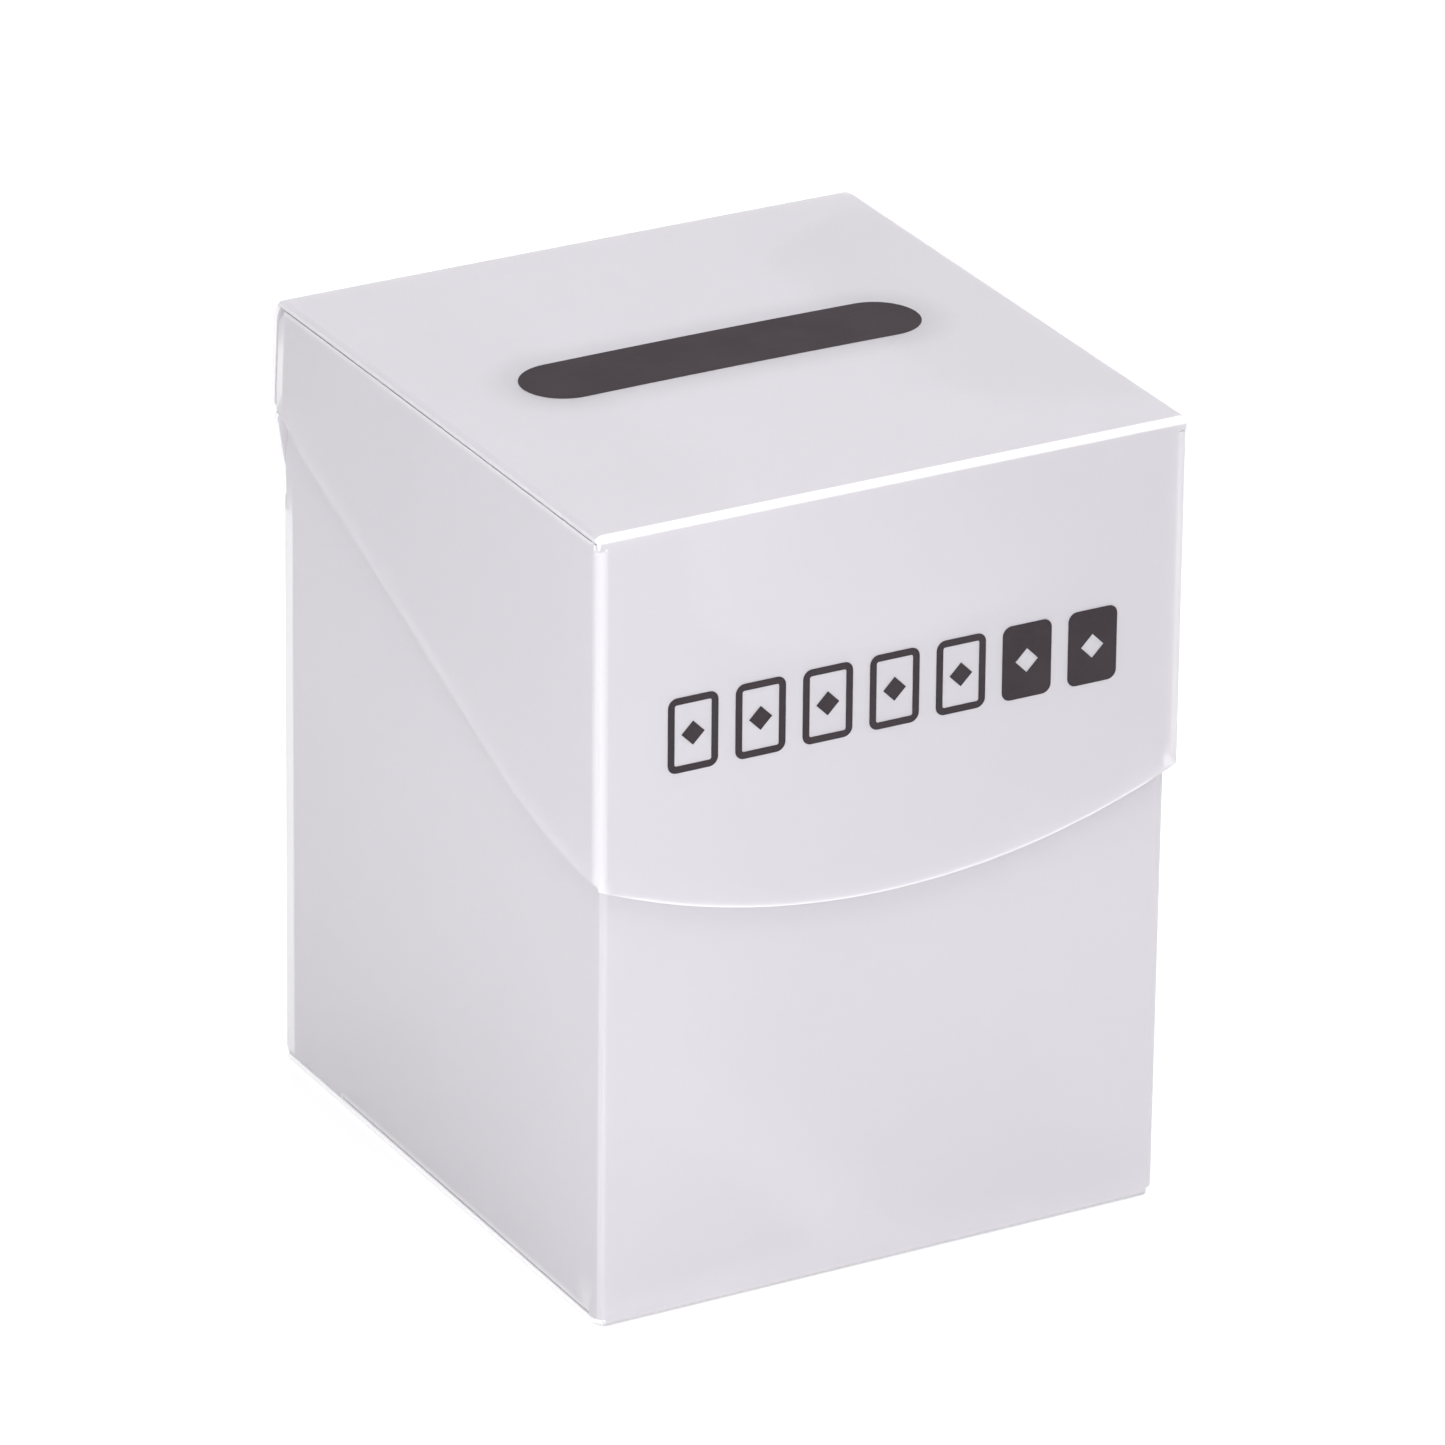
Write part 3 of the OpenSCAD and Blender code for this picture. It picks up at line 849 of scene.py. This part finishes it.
class Shell:
    """A closed solid made from a panel's sheet: its vertices, its faces, and how white each vertex is
    painted, for stress whitening and painted highlights.
    """

    def __init__(self, panel, level, glow, shine):
        self.panel = panel
        self.level = level
        self.glow = glow
        self.shine = shine
        self.vertices = []
        self.creases = []
        self.rims = []
        self.faces = []
        self.face_normals = []

    def add_vertex(self, u, v, offset, rim=0.0):
        """Adds the point at (u, v), offset outward from the sheet's middle, and returns its number."""
        self.vertices.append(self.panel.middle(u, v) + self.panel.normal(u, v) * (self.level + offset))
        self.creases.append(max(self.panel.crease(u, v), edge_glow(self.glow, self.shine, u, v)))
        self.rims.append(rim)
        return len(self.vertices) - 1

    def add_face(self, corners, normals):
        """Adds a face, with a normal for each of its corners."""
        self.faces.append(corners)
        self.face_normals.append(normals)

    def add_sides(self, flat, triangles, half):
        """Adds the sheet's outer and inner sides, and returns the numbers of the vertices of each."""
        normals = [self.panel.normal(u, v) for u, v in flat]
        outside = []
        within = []
        for u, v in flat:
            outside.append(self.add_vertex(u, v, half))
            within.append(self.add_vertex(u, v, -half))
        for triangle in triangles:
            turned = triangle[::-1]
            self.add_face([outside[i] for i in triangle], [normals[i] for i in triangle])
            self.add_face([within[i] for i in turned], [-normals[i] for i in turned])
        return outside, within

    def add_rim(self, loop, outer, inner, half, edge, rim):
        """Adds the cut edge along an outline, with a bevel on each side, between two rows of vertices."""
        upper = []
        lower = []
        for i, (u, v, mitre) in enumerate(loop):
            # A cut edge carries its painted highlight except at a mitre.
            white = 0.0 if mitre or loop[i - 1][2] else rim
            upper.append(self.add_vertex(u, v, half - edge, white))
            lower.append(self.add_vertex(u, v, edge - half, white))
        ups = [self.panel.normal(point[0], point[1]) for point in loop]
        sides = []
        for (a, b), up in zip(pairs(loop), ups):
            tangent = self.panel.middle(b[0], b[1]) - self.panel.middle(a[0], a[1])
            sides.append(tangent.cross(up).normalized())
        for i in range(len(loop)):
            j = (i + 1) % len(loop)
            side_i = shared_normal(sides[i - 1], sides[i])
            side_j = shared_normal(sides[j], sides[i])
            bands = (
                (outer[i], upper[i], upper[j], outer[j], 1),
                (upper[i], lower[i], lower[j], upper[j], 0),
                (lower[i], inner[i], inner[j], lower[j], -1),
            )
            for p, q, r, s, tilt in bands:
                normal_i = (side_i + ups[i] * tilt).normalized()
                normal_j = (side_j + ups[j] * tilt).normalized()
                self.add_face([p, q, r, s], [normal_i, normal_i, normal_j, normal_j])

    def mirror(self):
        """Mirrors the solid from the left to the right."""
        self.vertices = [Vector((-p.x, p.y, p.z)) for p in self.vertices]
        self.faces = [face[::-1] for face in self.faces]
        self.face_normals = [[Vector((-n.x, n.y, n.z)) for n in ns[::-1]] for ns in self.face_normals]


def sheet_piece(
    node, body, panel, loops, material, suffix="_sheet", thickness=SHEET, level=0.0, edge=EDGE, spacing=5.0,
    mirror=False, glow=(), shine=0.0, rim=1.0,
):
    """Cuts a closed solid piece out of a panel's sheet, folds it, and lets it stand for a CAD node.

    level is how far its middle lies outside the panel's, edge its bevel, and spacing that of its mesh lines.
    glow is the part of the outline beside whose cut edge a highlight is painted on the sheet, and shine how
    much.
    rim is how pale the painted highlight on the cut edges is.
    """
    outer = max(loops, key=lambda loop: abs(signed_area(loop)))
    span_u = [p[0] for p in outer]
    span_v = [p[1] for p in outer]
    columns = panel.lines(0, min(span_u), max(span_u), spacing)
    rows = panel.lines(1, min(span_v), max(span_v), spacing)
    full = [split_loop(loop, columns, rows) for loop in loops]
    inset = [inset_loop(loop, edge) for loop in full]
    clearance = min(GRID_CLEAR, edge / 2) + GRID_SPARE
    flat, triangles, rims = triangulate(inset, columns, rows, clearance, glow_ring(glow))
    half = thickness / 2
    shell = Shell(panel, level, glow, shine)
    outside, within = shell.add_sides(flat, triangles, half)
    for loop, border in zip(full, rims):
        shell.add_rim(loop, [outside[i] for i in border], [within[i] for i in border], half, edge, rim)
    if mirror:
        shell.mirror()
    finish_piece(node + suffix, node, body, shell, material)


def finish_piece(name, node, body, shell, material):
    """Makes the mesh, in metres, with its normals and attributes, and ties it to the frame."""
    mesh = bpy.data.meshes.new(name)
    mesh.from_pydata([p * MM for p in shell.vertices], [], shell.faces)
    mesh.shade_smooth()
    for attribute_name, values in (("crease", shell.creases), ("rim", shell.rims)):
        attribute = mesh.attributes.new(attribute_name, "FLOAT", "POINT")
        attribute.data.foreach_set("value", values)
    mesh.normals_split_custom_set([n for ns in shell.face_normals for n in ns])
    mesh.materials.append(material)
    piece = bpy.data.objects.new(name, mesh)
    bpy.context.scene.collection.objects.link(piece)
    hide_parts(node)
    if body:
        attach(piece, body)
    return piece


# ---- the box ----

# Where the folds start, and where the mitres are half-way round them.
FOLD_X = BOX_X - BOX_FOLD
FOLD_Y = BOX_Y - BOX_FOLD
MITRE_X = FOLD_X + half_fold(BOX_FOLD)
MITRE_Y = FOLD_Y + half_fold(BOX_FOLD)
FOOT_X = FOLD_X - FOLD_MARGIN
# The bottom flaps and the rear tab lie on the bottom panel.
FLAP_LEVEL = SHEET + WELD_GAP
LOW_FOLD = FLAP_LEVEL + BOTTOM_FOLD
LOW_MITRE = LOW_FOLD - half_fold(BOTTOM_FOLD)


def scoop_edge():
    """The front wall's top edge from right to left: round lip, corner, bottom arc, and back up."""
    centre_v = SCOOP_Z + SCOOP_R
    corner_u = SCOOP_X - SCOOP_CORNER_R
    corner_v = centre_v - math.sqrt((SCOOP_R - SCOOP_CORNER_R) ** 2 - corner_u ** 2)
    tangent = math.degrees(math.atan2(corner_v - centre_v, corner_u))
    lip_u = SCOOP_X + SCOOP_LIP_R
    lip_v = WALL_TOP - SCOOP_LIP_R
    right = arc(lip_u, lip_v, SCOOP_LIP_R, 90, 180, 8)
    right += arc(corner_u, corner_v, SCOOP_CORNER_R, 0, tangent, 8)
    bottom = arc(0, centre_v, SCOOP_R, tangent, -180 - tangent, 40)
    left = [(-u, v) for u, v in reversed(right)]
    return right + bottom[1:-1] + left


def build_front_wall(material):
    """The front wall, with the thumb scoop in its top edge."""
    foot = BOX_FOLD - half_fold(BOX_FOLD)
    panel = Panel((0, -BOX_Y + SHEET / 2, 0), X, Z, box_sag, folds=[
        *side_folds(FOLD_X, BOX_FOLD, start=CORNER_LOW - FOLD_MARGIN, **SOFT_CREASE),
        Fold(1, -1, BOX_FOLD, BOX_FOLD, start=-FOLD_X, end=FOLD_X, **FAINT_CREASE),
    ])
    outline = [
        (-FOOT_X, foot, True), (FOOT_X, foot), (FOLD_X, CORNER_LOW), (MITRE_X, CORNER_LOW, True),
        (MITRE_X, WALL_TOP), *scoop_edge(), (-MITRE_X, WALL_TOP, True), (-MITRE_X, CORNER_LOW),
        (-FOLD_X, CORNER_LOW),
    ]
    sheet_piece("front_wall", "box", panel, [outline], material)


def build_side_walls(material):
    """The side walls, with a step below their back corner and a fold down to each bottom flap."""
    front = -BOTTOM_FLAP_Y[0]
    back = -BOTTOM_FLAP_Y[1]
    step = -(BOX_Y - STEP_IN)
    panel = Panel((-BOX_X + SHEET / 2, 0, 0), -Y, Z, box_sag, folds=[
        Fold(0, 1, FOLD_Y, BOX_FOLD, start=CORNER_LOW - FOLD_MARGIN, **SOFT_CREASE),
        Fold(0, -1, -FOLD_Y, BOX_FOLD, start=LOW_FOLD - FOLD_MARGIN, end=FREE_Z + FREE_MARGIN, **BACK_FOLD_HIGHLIGHT),
        Fold(1, -1, LOW_FOLD, BOTTOM_FOLD, start=back - FOLD_MARGIN, end=front + FOLD_MARGIN),
    ])
    outline = [
        (-FOLD_Y + FOOT_BACK_CUT, FLAP_LEVEL), (back - NOTCH, FLAP_LEVEL), (back - NOTCH, LOW_FOLD),
        (back, LOW_FOLD), (back, LOW_MITRE, True), (front, LOW_MITRE), (front, LOW_FOLD),
        (front + NOTCH, LOW_FOLD), (front + NOTCH, FLAP_LEVEL), (FOLD_Y - FOOT_FRONT_CUT, FLAP_LEVEL),
        (FOLD_Y, CORNER_LOW), (MITRE_Y, CORNER_LOW, True), (MITRE_Y, WALL_TOP), (step, WALL_TOP),
        (step, STEP_Z), (-FOLD_Y, STEP_Z - STEP_DROP), (-FOLD_Y, FREE_Z + FREE_RISE),
        (-MITRE_Y, FREE_Z, True), (-MITRE_Y, LOW_FOLD), (-FOLD_Y, LOW_FOLD),
    ]
    for name, mirror in (("left_wall", False), ("right_wall", True)):
        sheet_piece(name, "box", panel, [outline], material, mirror=mirror)


def flare(u, v):
    """How far the back wall leans out at (u, v)."""
    return FLARE * smooth(FREE_Z, FLARE_TOP_Z, v)


def build_back_wall(material):
    """The back wall, which comes free of the side walls and widens up to the hinge."""
    panel = Panel((0, BOX_Y - SHEET / 2, 0), -X, Z, box_sag, bulge=flare, folds=[
        *side_folds(FOLD_X, BOX_FOLD, start=LOW_FOLD - FOLD_MARGIN, end=FREE_Z + FREE_MARGIN),
        Fold(1, -1, LOW_FOLD, BOTTOM_FOLD, start=-REAR_TAB_X - FOLD_MARGIN, end=REAR_TAB_X + FOLD_MARGIN),
    ])
    free_side = [*FREE_WALL, (FREE_WALL[-1][0] - REAR_CUT, HINGE.z - HINGE_HALF)]
    outline = [
        (-REAR_TAB_X, LOW_MITRE, True), (REAR_TAB_X, LOW_MITRE), (REAR_TAB_X + REAR_TAB_FLARE, LOW_FOLD),
        (MITRE_X, LOW_FOLD, True), (MITRE_X, FREE_Z), *free_side, *((-u, v) for u, v in free_side[::-1]),
        (-MITRE_X, FREE_Z, True), (-MITRE_X, LOW_FOLD), (-REAR_TAB_X - REAR_TAB_FLARE, LOW_FOLD),
    ]
    sheet_piece("back_wall", "box", panel, [outline], material)


def build_bottom_panel(material):
    """The outer bottom, folded in from the front wall."""
    panel = Panel((0, 0, SHEET / 2), -X, Y, box_sag, folds=[
        Fold(1, -1, -FOLD_Y, BOX_FOLD, start=-FOLD_X, end=FOLD_X, **FAINT_CREASE),
    ])
    side = BOX_X - BOTTOM_INSET
    outline = [
        (-FOOT_X, -MITRE_Y, True), (FOOT_X, -MITRE_Y), (FOLD_X, -FOLD_Y + BOTTOM_FRONT_CUT),
        (side, -FOLD_Y + BOTTOM_CORNER), (side, BOX_Y - BOTTOM_CORNER),
        (BOX_X - BOTTOM_CORNER, BOX_Y - BOTTOM_INSET), (-BOX_X + BOTTOM_CORNER, BOX_Y - BOTTOM_INSET),
        (-side, BOX_Y - BOTTOM_CORNER), (-side, -FOLD_Y + BOTTOM_CORNER),
        (-FOLD_X, -FOLD_Y + BOTTOM_FRONT_CUT),
    ]
    sheet_piece("bottom_panel", "box", panel, [outline], material)


def build_bottom_flaps(material):
    """The flaps folded in from the side walls, and the tab folded in from the back wall."""
    fold_x = BOX_X - BOTTOM_FOLD
    mitre_x = fold_x + half_fold(BOTTOM_FOLD)
    front, back = BOTTOM_FLAP_Y
    panel = Panel((0, 0, FLAP_LEVEL + SHEET / 2), -X, Y, box_sag, folds=[Fold(0, 1, fold_x, BOTTOM_FOLD)])
    outline = [
        (BOTTOM_FLAP_INNER_X, front + LEAD_IN), (mitre_x, front, True), (mitre_x, back),
        (BOTTOM_FLAP_INNER_X, back - LEAD_IN),
    ]
    for name, mirror in (("bottom_left_flap", False), ("bottom_right_flap", True)):
        sheet_piece(name, "box", panel, [outline], material, mirror=mirror)

    fold_y = BOX_Y - BOTTOM_FOLD
    mitre_y = fold_y + half_fold(BOTTOM_FOLD)
    inner_y = BOX_Y - SHEET - REAR_TAB_DEPTH
    inner_x = REAR_TAB_X - REAR_TAB_TAPER
    panel = Panel((0, 0, FLAP_LEVEL + SHEET / 2), -X, Y, box_sag, folds=[Fold(1, 1, fold_y, BOTTOM_FOLD)])
    outline = [
        (-inner_x, inner_y), (inner_x, inner_y), (REAR_TAB_X, mitre_y, True), (-REAR_TAB_X, mitre_y),
    ]
    sheet_piece("bottom_rear_tab", "box", panel, [outline], material)


def build_seam_tab(material):
    """The upright tab welded inside the right wall."""
    panel = Panel((BOX_X - 1.5 * SHEET - WELD_GAP, 0, 0), Y, Z, box_sag)
    back = FOLD_Y - SEAM_TAB_BACK_GAP
    low = 3 * SHEET
    top = FREE_Z - SEAM_TAB_TOP_GAP
    outline = [
        (back - SEAM_TAB_W, low + LEAD_IN), (back, low), (back, top), (back - SEAM_TAB_W, top - LEAD_IN),
    ]
    sheet_piece("seam_tab", "box", panel, [outline], material)


# ---- the lid ----

# Where the folds start, and where the mitres are half-way round them.
TOP_FRONT = LID_FRONT - FRONT_FOLD
TOP_FRONT_MITRE = TOP_FRONT + half_fold(FRONT_FOLD)
TOP_REAR = LID_BACK - REAR_FOLD
TOP_REAR_MITRE = TOP_REAR + half_fold(REAR_FOLD)
FLAP_TOP = LID_TOP - FRONT_FOLD
FLAP_TOP_MITRE = FLAP_TOP + half_fold(FRONT_FOLD)
STRIP_TOP = LID_TOP - REAR_FOLD
STRIP_TOP_MITRE = STRIP_TOP + half_fold(REAR_FOLD)
SIDE_X = LID_X - LID_FOLD
SIDE_MITRE = SIDE_X + half_fold(LID_FOLD)
EDGE_X = LID_X - LID_INSET
RELIEF_LOW = RELIEF_Z - RELIEF_HALF
RELIEF_HIGH = RELIEF_Z + RELIEF_HALF
# The ears' tabs lie under the top panel and inside the back strip.
EAR_TOP = LID_TOP - SHEET - WELD_GAP
EAR_TOP_START = EAR_TOP - EAR_TOP_FOLD
EAR_FRONT = LID_FRONT - LID_FOLD
EAR_TAB_Y = LID_BACK - SHEET - WELD_GAP
EAR_BACK = EAR_TAB_Y - LID_FOLD


def build_top_panel(material, ink):
    """The top panel and the bar printed on it."""
    bends = [side * (LID_X - depth) for side in (-1, 1) for depth in CURL_DEPTHS]
    panel = Panel((0, 0, LID_TOP - SHEET / 2), X, Y, lid_sag, bends=bends, folds=[
        Fold(1, -1, -TOP_FRONT, FRONT_FOLD, **FRONT_CREASE_WHITE_AND_HIGHLIGHT),
        Fold(1, 1, TOP_REAR, REAR_FOLD, **REAR_CREASE),
    ])
    front_x = EDGE_X - FRONT_CUT
    rear_x = EDGE_X - REAR_CUT
    front_corner = -TOP_FRONT + TOP_CORNER
    outline = [
        (-front_x, -TOP_FRONT_MITRE, True), (front_x, -TOP_FRONT_MITRE), (EDGE_X, front_corner),
        (EDGE_X, TOP_REAR), (rear_x, TOP_REAR_MITRE, True), (-rear_x, TOP_REAR_MITRE), (-EDGE_X, TOP_REAR),
        (-EDGE_X, front_corner),
    ]
    sheet_piece("top_panel", "lid", panel, [outline], material, rim=TOP_RIM_HIGHLIGHT)
    build_top_print(panel, ink)


def build_back_strip(material):
    """The strip of the back above the living hinge."""
    panel = Panel((0, LID_BACK - SHEET / 2, 0), -X, Z, lid_sag, folds=[
        Fold(1, 1, STRIP_TOP, REAR_FOLD, **REAR_CREASE),
    ])
    low = HINGE.z + HINGE_HALF
    low_x = EDGE_X - STRIP_CORNER[0]
    corner = low + STRIP_CORNER[1]
    rear_x = EDGE_X - REAR_CUT
    outline = [
        (-low_x, low), (low_x, low), (EDGE_X, corner), (EDGE_X, STRIP_TOP), (rear_x, STRIP_TOP_MITRE, True),
        (-rear_x, STRIP_TOP_MITRE), (-EDGE_X, STRIP_TOP), (-EDGE_X, corner),
    ]
    sheet_piece("back_strip", "lid", panel, [outline], material)


def flap_low_edge():
    """The front flap's curved lower edge, from left to right."""
    sweep = math.degrees(math.asin(SIDE_MITRE / FLAP_R))
    return arc(0, FLAP_LOW + FLAP_R, FLAP_R, -90 - sweep, -90 + sweep, 48)


def build_front_flap(material, ink):
    """The front flap and the row of cards printed on it."""
    panel = Panel((0, -LID_FRONT + SHEET / 2, 0), X, Z, lid_sag, folds=[
        *side_folds(SIDE_X, LID_FOLD, end=RELIEF_Z, **CORNER_CREASE),
        Fold(1, 1, FLAP_TOP, FRONT_FOLD, **FRONT_CREASE_WHITE_AND_HIGHLIGHT),
    ])
    low_edge = flap_low_edge()
    front_x = EDGE_X - FRONT_CUT
    relief_x = SIDE_X - RELIEF_IN
    outline = low_edge[:-1] + [
        (*low_edge[-1], True), (SIDE_MITRE, RELIEF_LOW), (relief_x, RELIEF_LOW), (relief_x, RELIEF_HIGH),
        (front_x, RELIEF_HIGH), (front_x, FLAP_TOP_MITRE, True), (-front_x, FLAP_TOP_MITRE),
        (-front_x, RELIEF_HIGH), (-relief_x, RELIEF_HIGH), (-relief_x, RELIEF_LOW),
        (-SIDE_MITRE, RELIEF_LOW, True),
    ]
    glow = [point for point in low_edge if abs(point[0]) < SIDE_X - GLOW_END]
    sheet_piece("front_flap", "lid", panel, [outline], material, glow=glow, shine=FLAP_SHINE)
    build_front_print(panel, ink)


def ear_low_edge():
    """The curved part of an ear's lower edge, from the straight part to the front corner."""
    curve_y = -LID_FRONT - EAR_CURVE_R * math.sin(EAR_START)
    curve_z = EAR_FRONT_Z + EAR_CURVE_R * math.cos(EAR_START)
    last = math.asin((EAR_FRONT_GAP - EAR_FRONT - half_fold(LID_FOLD) - curve_y) / EAR_CURVE_R)
    points = []
    for i in range(EAR_STEPS + 1):
        angle = EAR_SLOPE + (last - EAR_SLOPE) * i / EAR_STEPS
        points.append((-(curve_y + EAR_CURVE_R * math.sin(angle)), curve_z - EAR_CURVE_R * math.cos(angle)))
    return points


def ear_part():
    """An ear: (panel, outline, edge with a painted highlight)."""
    tab_low, tab_high = EAR_TAB_Z
    tab_front, tab_back = -TOP_TAB_Y[0], -TOP_TAB_Y[1]
    panel = Panel((-LID_X + SHEET / 2, 0, 0), -Y, Z, lid_sag, folds=[
        Fold(0, 1, EAR_FRONT, LID_FOLD, end=RELIEF_Z, **CORNER_CREASE),
        Fold(
            0, -1, -EAR_BACK, LID_FOLD, start=tab_low - FOLD_MARGIN, end=tab_high + FOLD_MARGIN,
            **EAR_BACK_FOLD_HIGHLIGHT,
        ),
        Fold(1, 1, EAR_TOP_START, EAR_TOP_FOLD, start=tab_back - FOLD_MARGIN, end=tab_front + FOLD_MARGIN),
    ])
    front = EAR_FRONT + half_fold(LID_FOLD)
    back = -EAR_BACK - half_fold(LID_FOLD)
    top = EAR_TOP_START + half_fold(EAR_TOP_FOLD)
    curve = ear_low_edge()
    outline = [(-y, z) for y, z in EAR_BACK_CORNER[::-1]] + curve + [
        (front, flap_low_edge()[-1][1] + EAR_FRONT_RISE, True), (front, RELIEF_LOW), (EAR_FRONT, RELIEF_LOW),
        (EAR_FRONT - RELIEF_IN, EAR_TOP_START), (tab_front, EAR_TOP_START), (tab_front, top, True),
        (tab_back, top), (tab_back, EAR_TOP_START), (-EAR_BACK, tab_high + EAR_RELIEF_RISE),
        (back, tab_high, True), (back, tab_low),
    ]
    return panel, outline, [point for point in curve if point[0] < EAR_FRONT - GLOW_END]


def top_tab_part():
    """The tab folded in from an ear and welded under the top: (panel, outline, edge with a painted
    highlight).
    """
    panel = Panel((0, 0, EAR_TOP - SHEET / 2), X, Y, lid_sag, folds=[
        Fold(0, -1, -LID_X + EAR_TOP_FOLD, EAR_TOP_FOLD),
    ])
    outer = -LID_X + EAR_TOP_FOLD - half_fold(EAR_TOP_FOLD)
    chamfer = -TOP_TAB_X - TOP_TAB_CHAMFER
    front, back = TOP_TAB_Y
    outline = [
        (outer, front), (chamfer, front - TOP_TAB_FRONT_SLANT), (-TOP_TAB_X, front + TOP_TAB_CHAMFER),
        (-TOP_TAB_X, back - TOP_TAB_CHAMFER), (chamfer, back), (outer, back, True),
    ]
    return panel, outline, ()


def rear_tab_part():
    """The tab folded in from an ear and welded inside the back strip: (panel, outline, edge with a painted
    highlight).
    """
    panel = Panel((0, EAR_TAB_Y - SHEET / 2, 0), -X, Z, lid_sag, folds=[Fold(0, 1, SIDE_X, LID_FOLD)])
    inner = LID_X - EAR_TAB_W
    low, high = EAR_TAB_Z
    outline = [
        (inner, low + EAR_TAB_TAPER), (SIDE_MITRE, low, True), (SIDE_MITRE, high),
        (inner, high - EAR_TAB_TAPER),
    ]
    return panel, outline, ()


def build_ears(material):
    """The ears and their tabs, left and then right."""
    parts = (("ear", ear_part()), ("top_tab", top_tab_part()), ("rear_tab", rear_tab_part()))
    for side, mirror in (("left", False), ("right", True)):
        for part, (panel, outline, glow) in parts:
            node = side + "_" + part
            sheet_piece(node, "lid", panel, [outline], material, mirror=mirror, glow=glow, shine=EAR_SHINE)


def build_hinge(material):
    """The thin web of the living hinge between the box and the lid, scored on its inner side."""
    outer = LID_BACK - HINGE_INSET
    reach = HINGE_HALF + HINGE_OVERLAP
    half_length = LID_X - HINGE_END_GAP
    web = Shell(None, 0.0, (), 0.0)
    for i in range(WEB_COLUMNS):
        x = -half_length + 2 * half_length * i / (WEB_COLUMNS - 1)
        for j in range(WEB_ROWS + 1):
            z = HINGE.z + reach * (2 * j / WEB_ROWS - 1)
            depth = WEB_THIN + (WEB_THICK - WEB_THIN) * ((z - HINGE.z) / reach) ** 2
            web.vertices += [Vector((x, outer, z)), Vector((x, outer - depth, z))]
    ring = 2 * (WEB_ROWS + 1)
    faces = []
    for i in range(WEB_COLUMNS - 1):
        a, b = i * ring, (i + 1) * ring
        for j in range(WEB_ROWS):
            p, q = 2 * j, 2 * j + 2
            faces.append([a + p, a + q, b + q, b + p])
            faces.append([a + p + 1, b + p + 1, b + q + 1, a + q + 1])
        faces.append([a, b, b + 1, a + 1])
        faces.append([a + ring - 2, a + ring - 1, b + ring - 1, b + ring - 2])
    for p in range(0, 2 * WEB_ROWS, 2):
        last = (WEB_COLUMNS - 1) * ring + p
        faces.append([p, p + 1, p + 3, p + 2])
        faces.append([last, last + 2, last + 3, last + 1])
    for face in faces:
        points = [web.vertices[i] for i in face]
        normal = (points[1] - points[0]).cross(points[2] - points[0]).normalized()
        web.add_face(face, [normal] * 4)
    # The whole web takes the fold white, stress whitening with a painted highlight.
    web.creases = [1.0] * len(web.vertices)
    web.rims = [0.0] * len(web.vertices)
    piece = finish_piece("living_hinge_web", "living_hinge", None, web, material)
    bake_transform(piece)


# ---- prints ----

INK_LIFT = 0.004
INK_EDGE = 0.015
INK_SPACING = 3.0


def print_piece(node, panel, loops, ink):
    """Ink that lies on a panel of the lid."""
    sheet_piece(
        node, "lid", panel, loops, ink, suffix="_ink", thickness=INK, level=SHEET / 2 + INK_LIFT + INK / 2,
        edge=INK_EDGE, spacing=INK_SPACING,
    )


def build_top_print(panel, ink):
    """The bar with full-round ends on the top panel."""
    loop = arc(BAR_X + BAR_STRAIGHT, BAR_Y, BAR_R, -90, 90, 28)
    loop += arc(BAR_X - BAR_STRAIGHT, BAR_Y, BAR_R, 90, 270, 28)
    print_piece("top_print", panel, [loop], ink)


def card_loop(centre_u, centre_v, width, height, radius):
    """The outline of a card with round corners, anticlockwise."""
    loop = []
    corners = ((1, -1, -90), (1, 1, 0), (-1, 1, 90), (-1, -1, 180))
    for side, end, start in corners:
        u = centre_u + side * (width / 2 - radius)
        v = centre_v + end * (height / 2 - radius)
        loop += arc(u, v, radius, start, start + 90, 6)
    return loop


def diamond_loop(centre_u, centre_v, width, height):
    """A diamond, anticlockwise."""
    tips = ((0, -height / 2), (width / 2, 0), (0, height / 2), (-width / 2, 0))
    return [(centre_u + u, centre_v + v) for u, v in tips]


CARD_COUNT = 7
SOLID_CARDS = 2
CARD_W = 6.3
CARD_LINE = 0.85
CARD_CORNER = 1.1
PIP = 2.9


def build_front_print(panel, ink):
    """The row of small cards on the flap: outlines with a diamond, the last ones solid."""
    centre_v = (ROW_LOW.z + ROW_HIGH.z) / 2
    height = ROW_HIGH.z - ROW_LOW.z
    first = ROW_LOW.x + CARD_W / 2
    pitch = (ROW_HIGH.x - ROW_LOW.x - CARD_W) / (CARD_COUNT - 1)
    loops = []
    for i in range(CARD_COUNT):
        centre_u = first + i * pitch
        loops.append(card_loop(centre_u, centre_v, CARD_W, height, CARD_CORNER))
        pip = diamond_loop(centre_u, centre_v, PIP, PIP)
        if i < CARD_COUNT - SOLID_CARDS:
            hole_w = CARD_W - 2 * CARD_LINE
            hole_h = height - 2 * CARD_LINE
            hole = card_loop(centre_u, centre_v, hole_w, hole_h, CARD_CORNER - CARD_LINE)
            loops.append(hole[::-1])
            loops.append(pip)
        else:
            loops.append(pip[::-1])
    print_piece("front_print", panel, loops, ink)


# ---- the scene ----

add_camera()
add_floor()
add_lights()
FROSTED = frosted_material()
PRINT_INK = ink_material()
build_front_wall(FROSTED)
build_side_walls(FROSTED)
build_back_wall(FROSTED)
build_bottom_panel(FROSTED)
build_bottom_flaps(FROSTED)
build_seam_tab(FROSTED)
build_top_panel(FROSTED, PRINT_INK)
build_back_strip(FROSTED)
build_front_flap(FROSTED, PRINT_INK)
build_ears(FROSTED)
build_hinge(FROSTED)

bpy.context.view_layer.update()
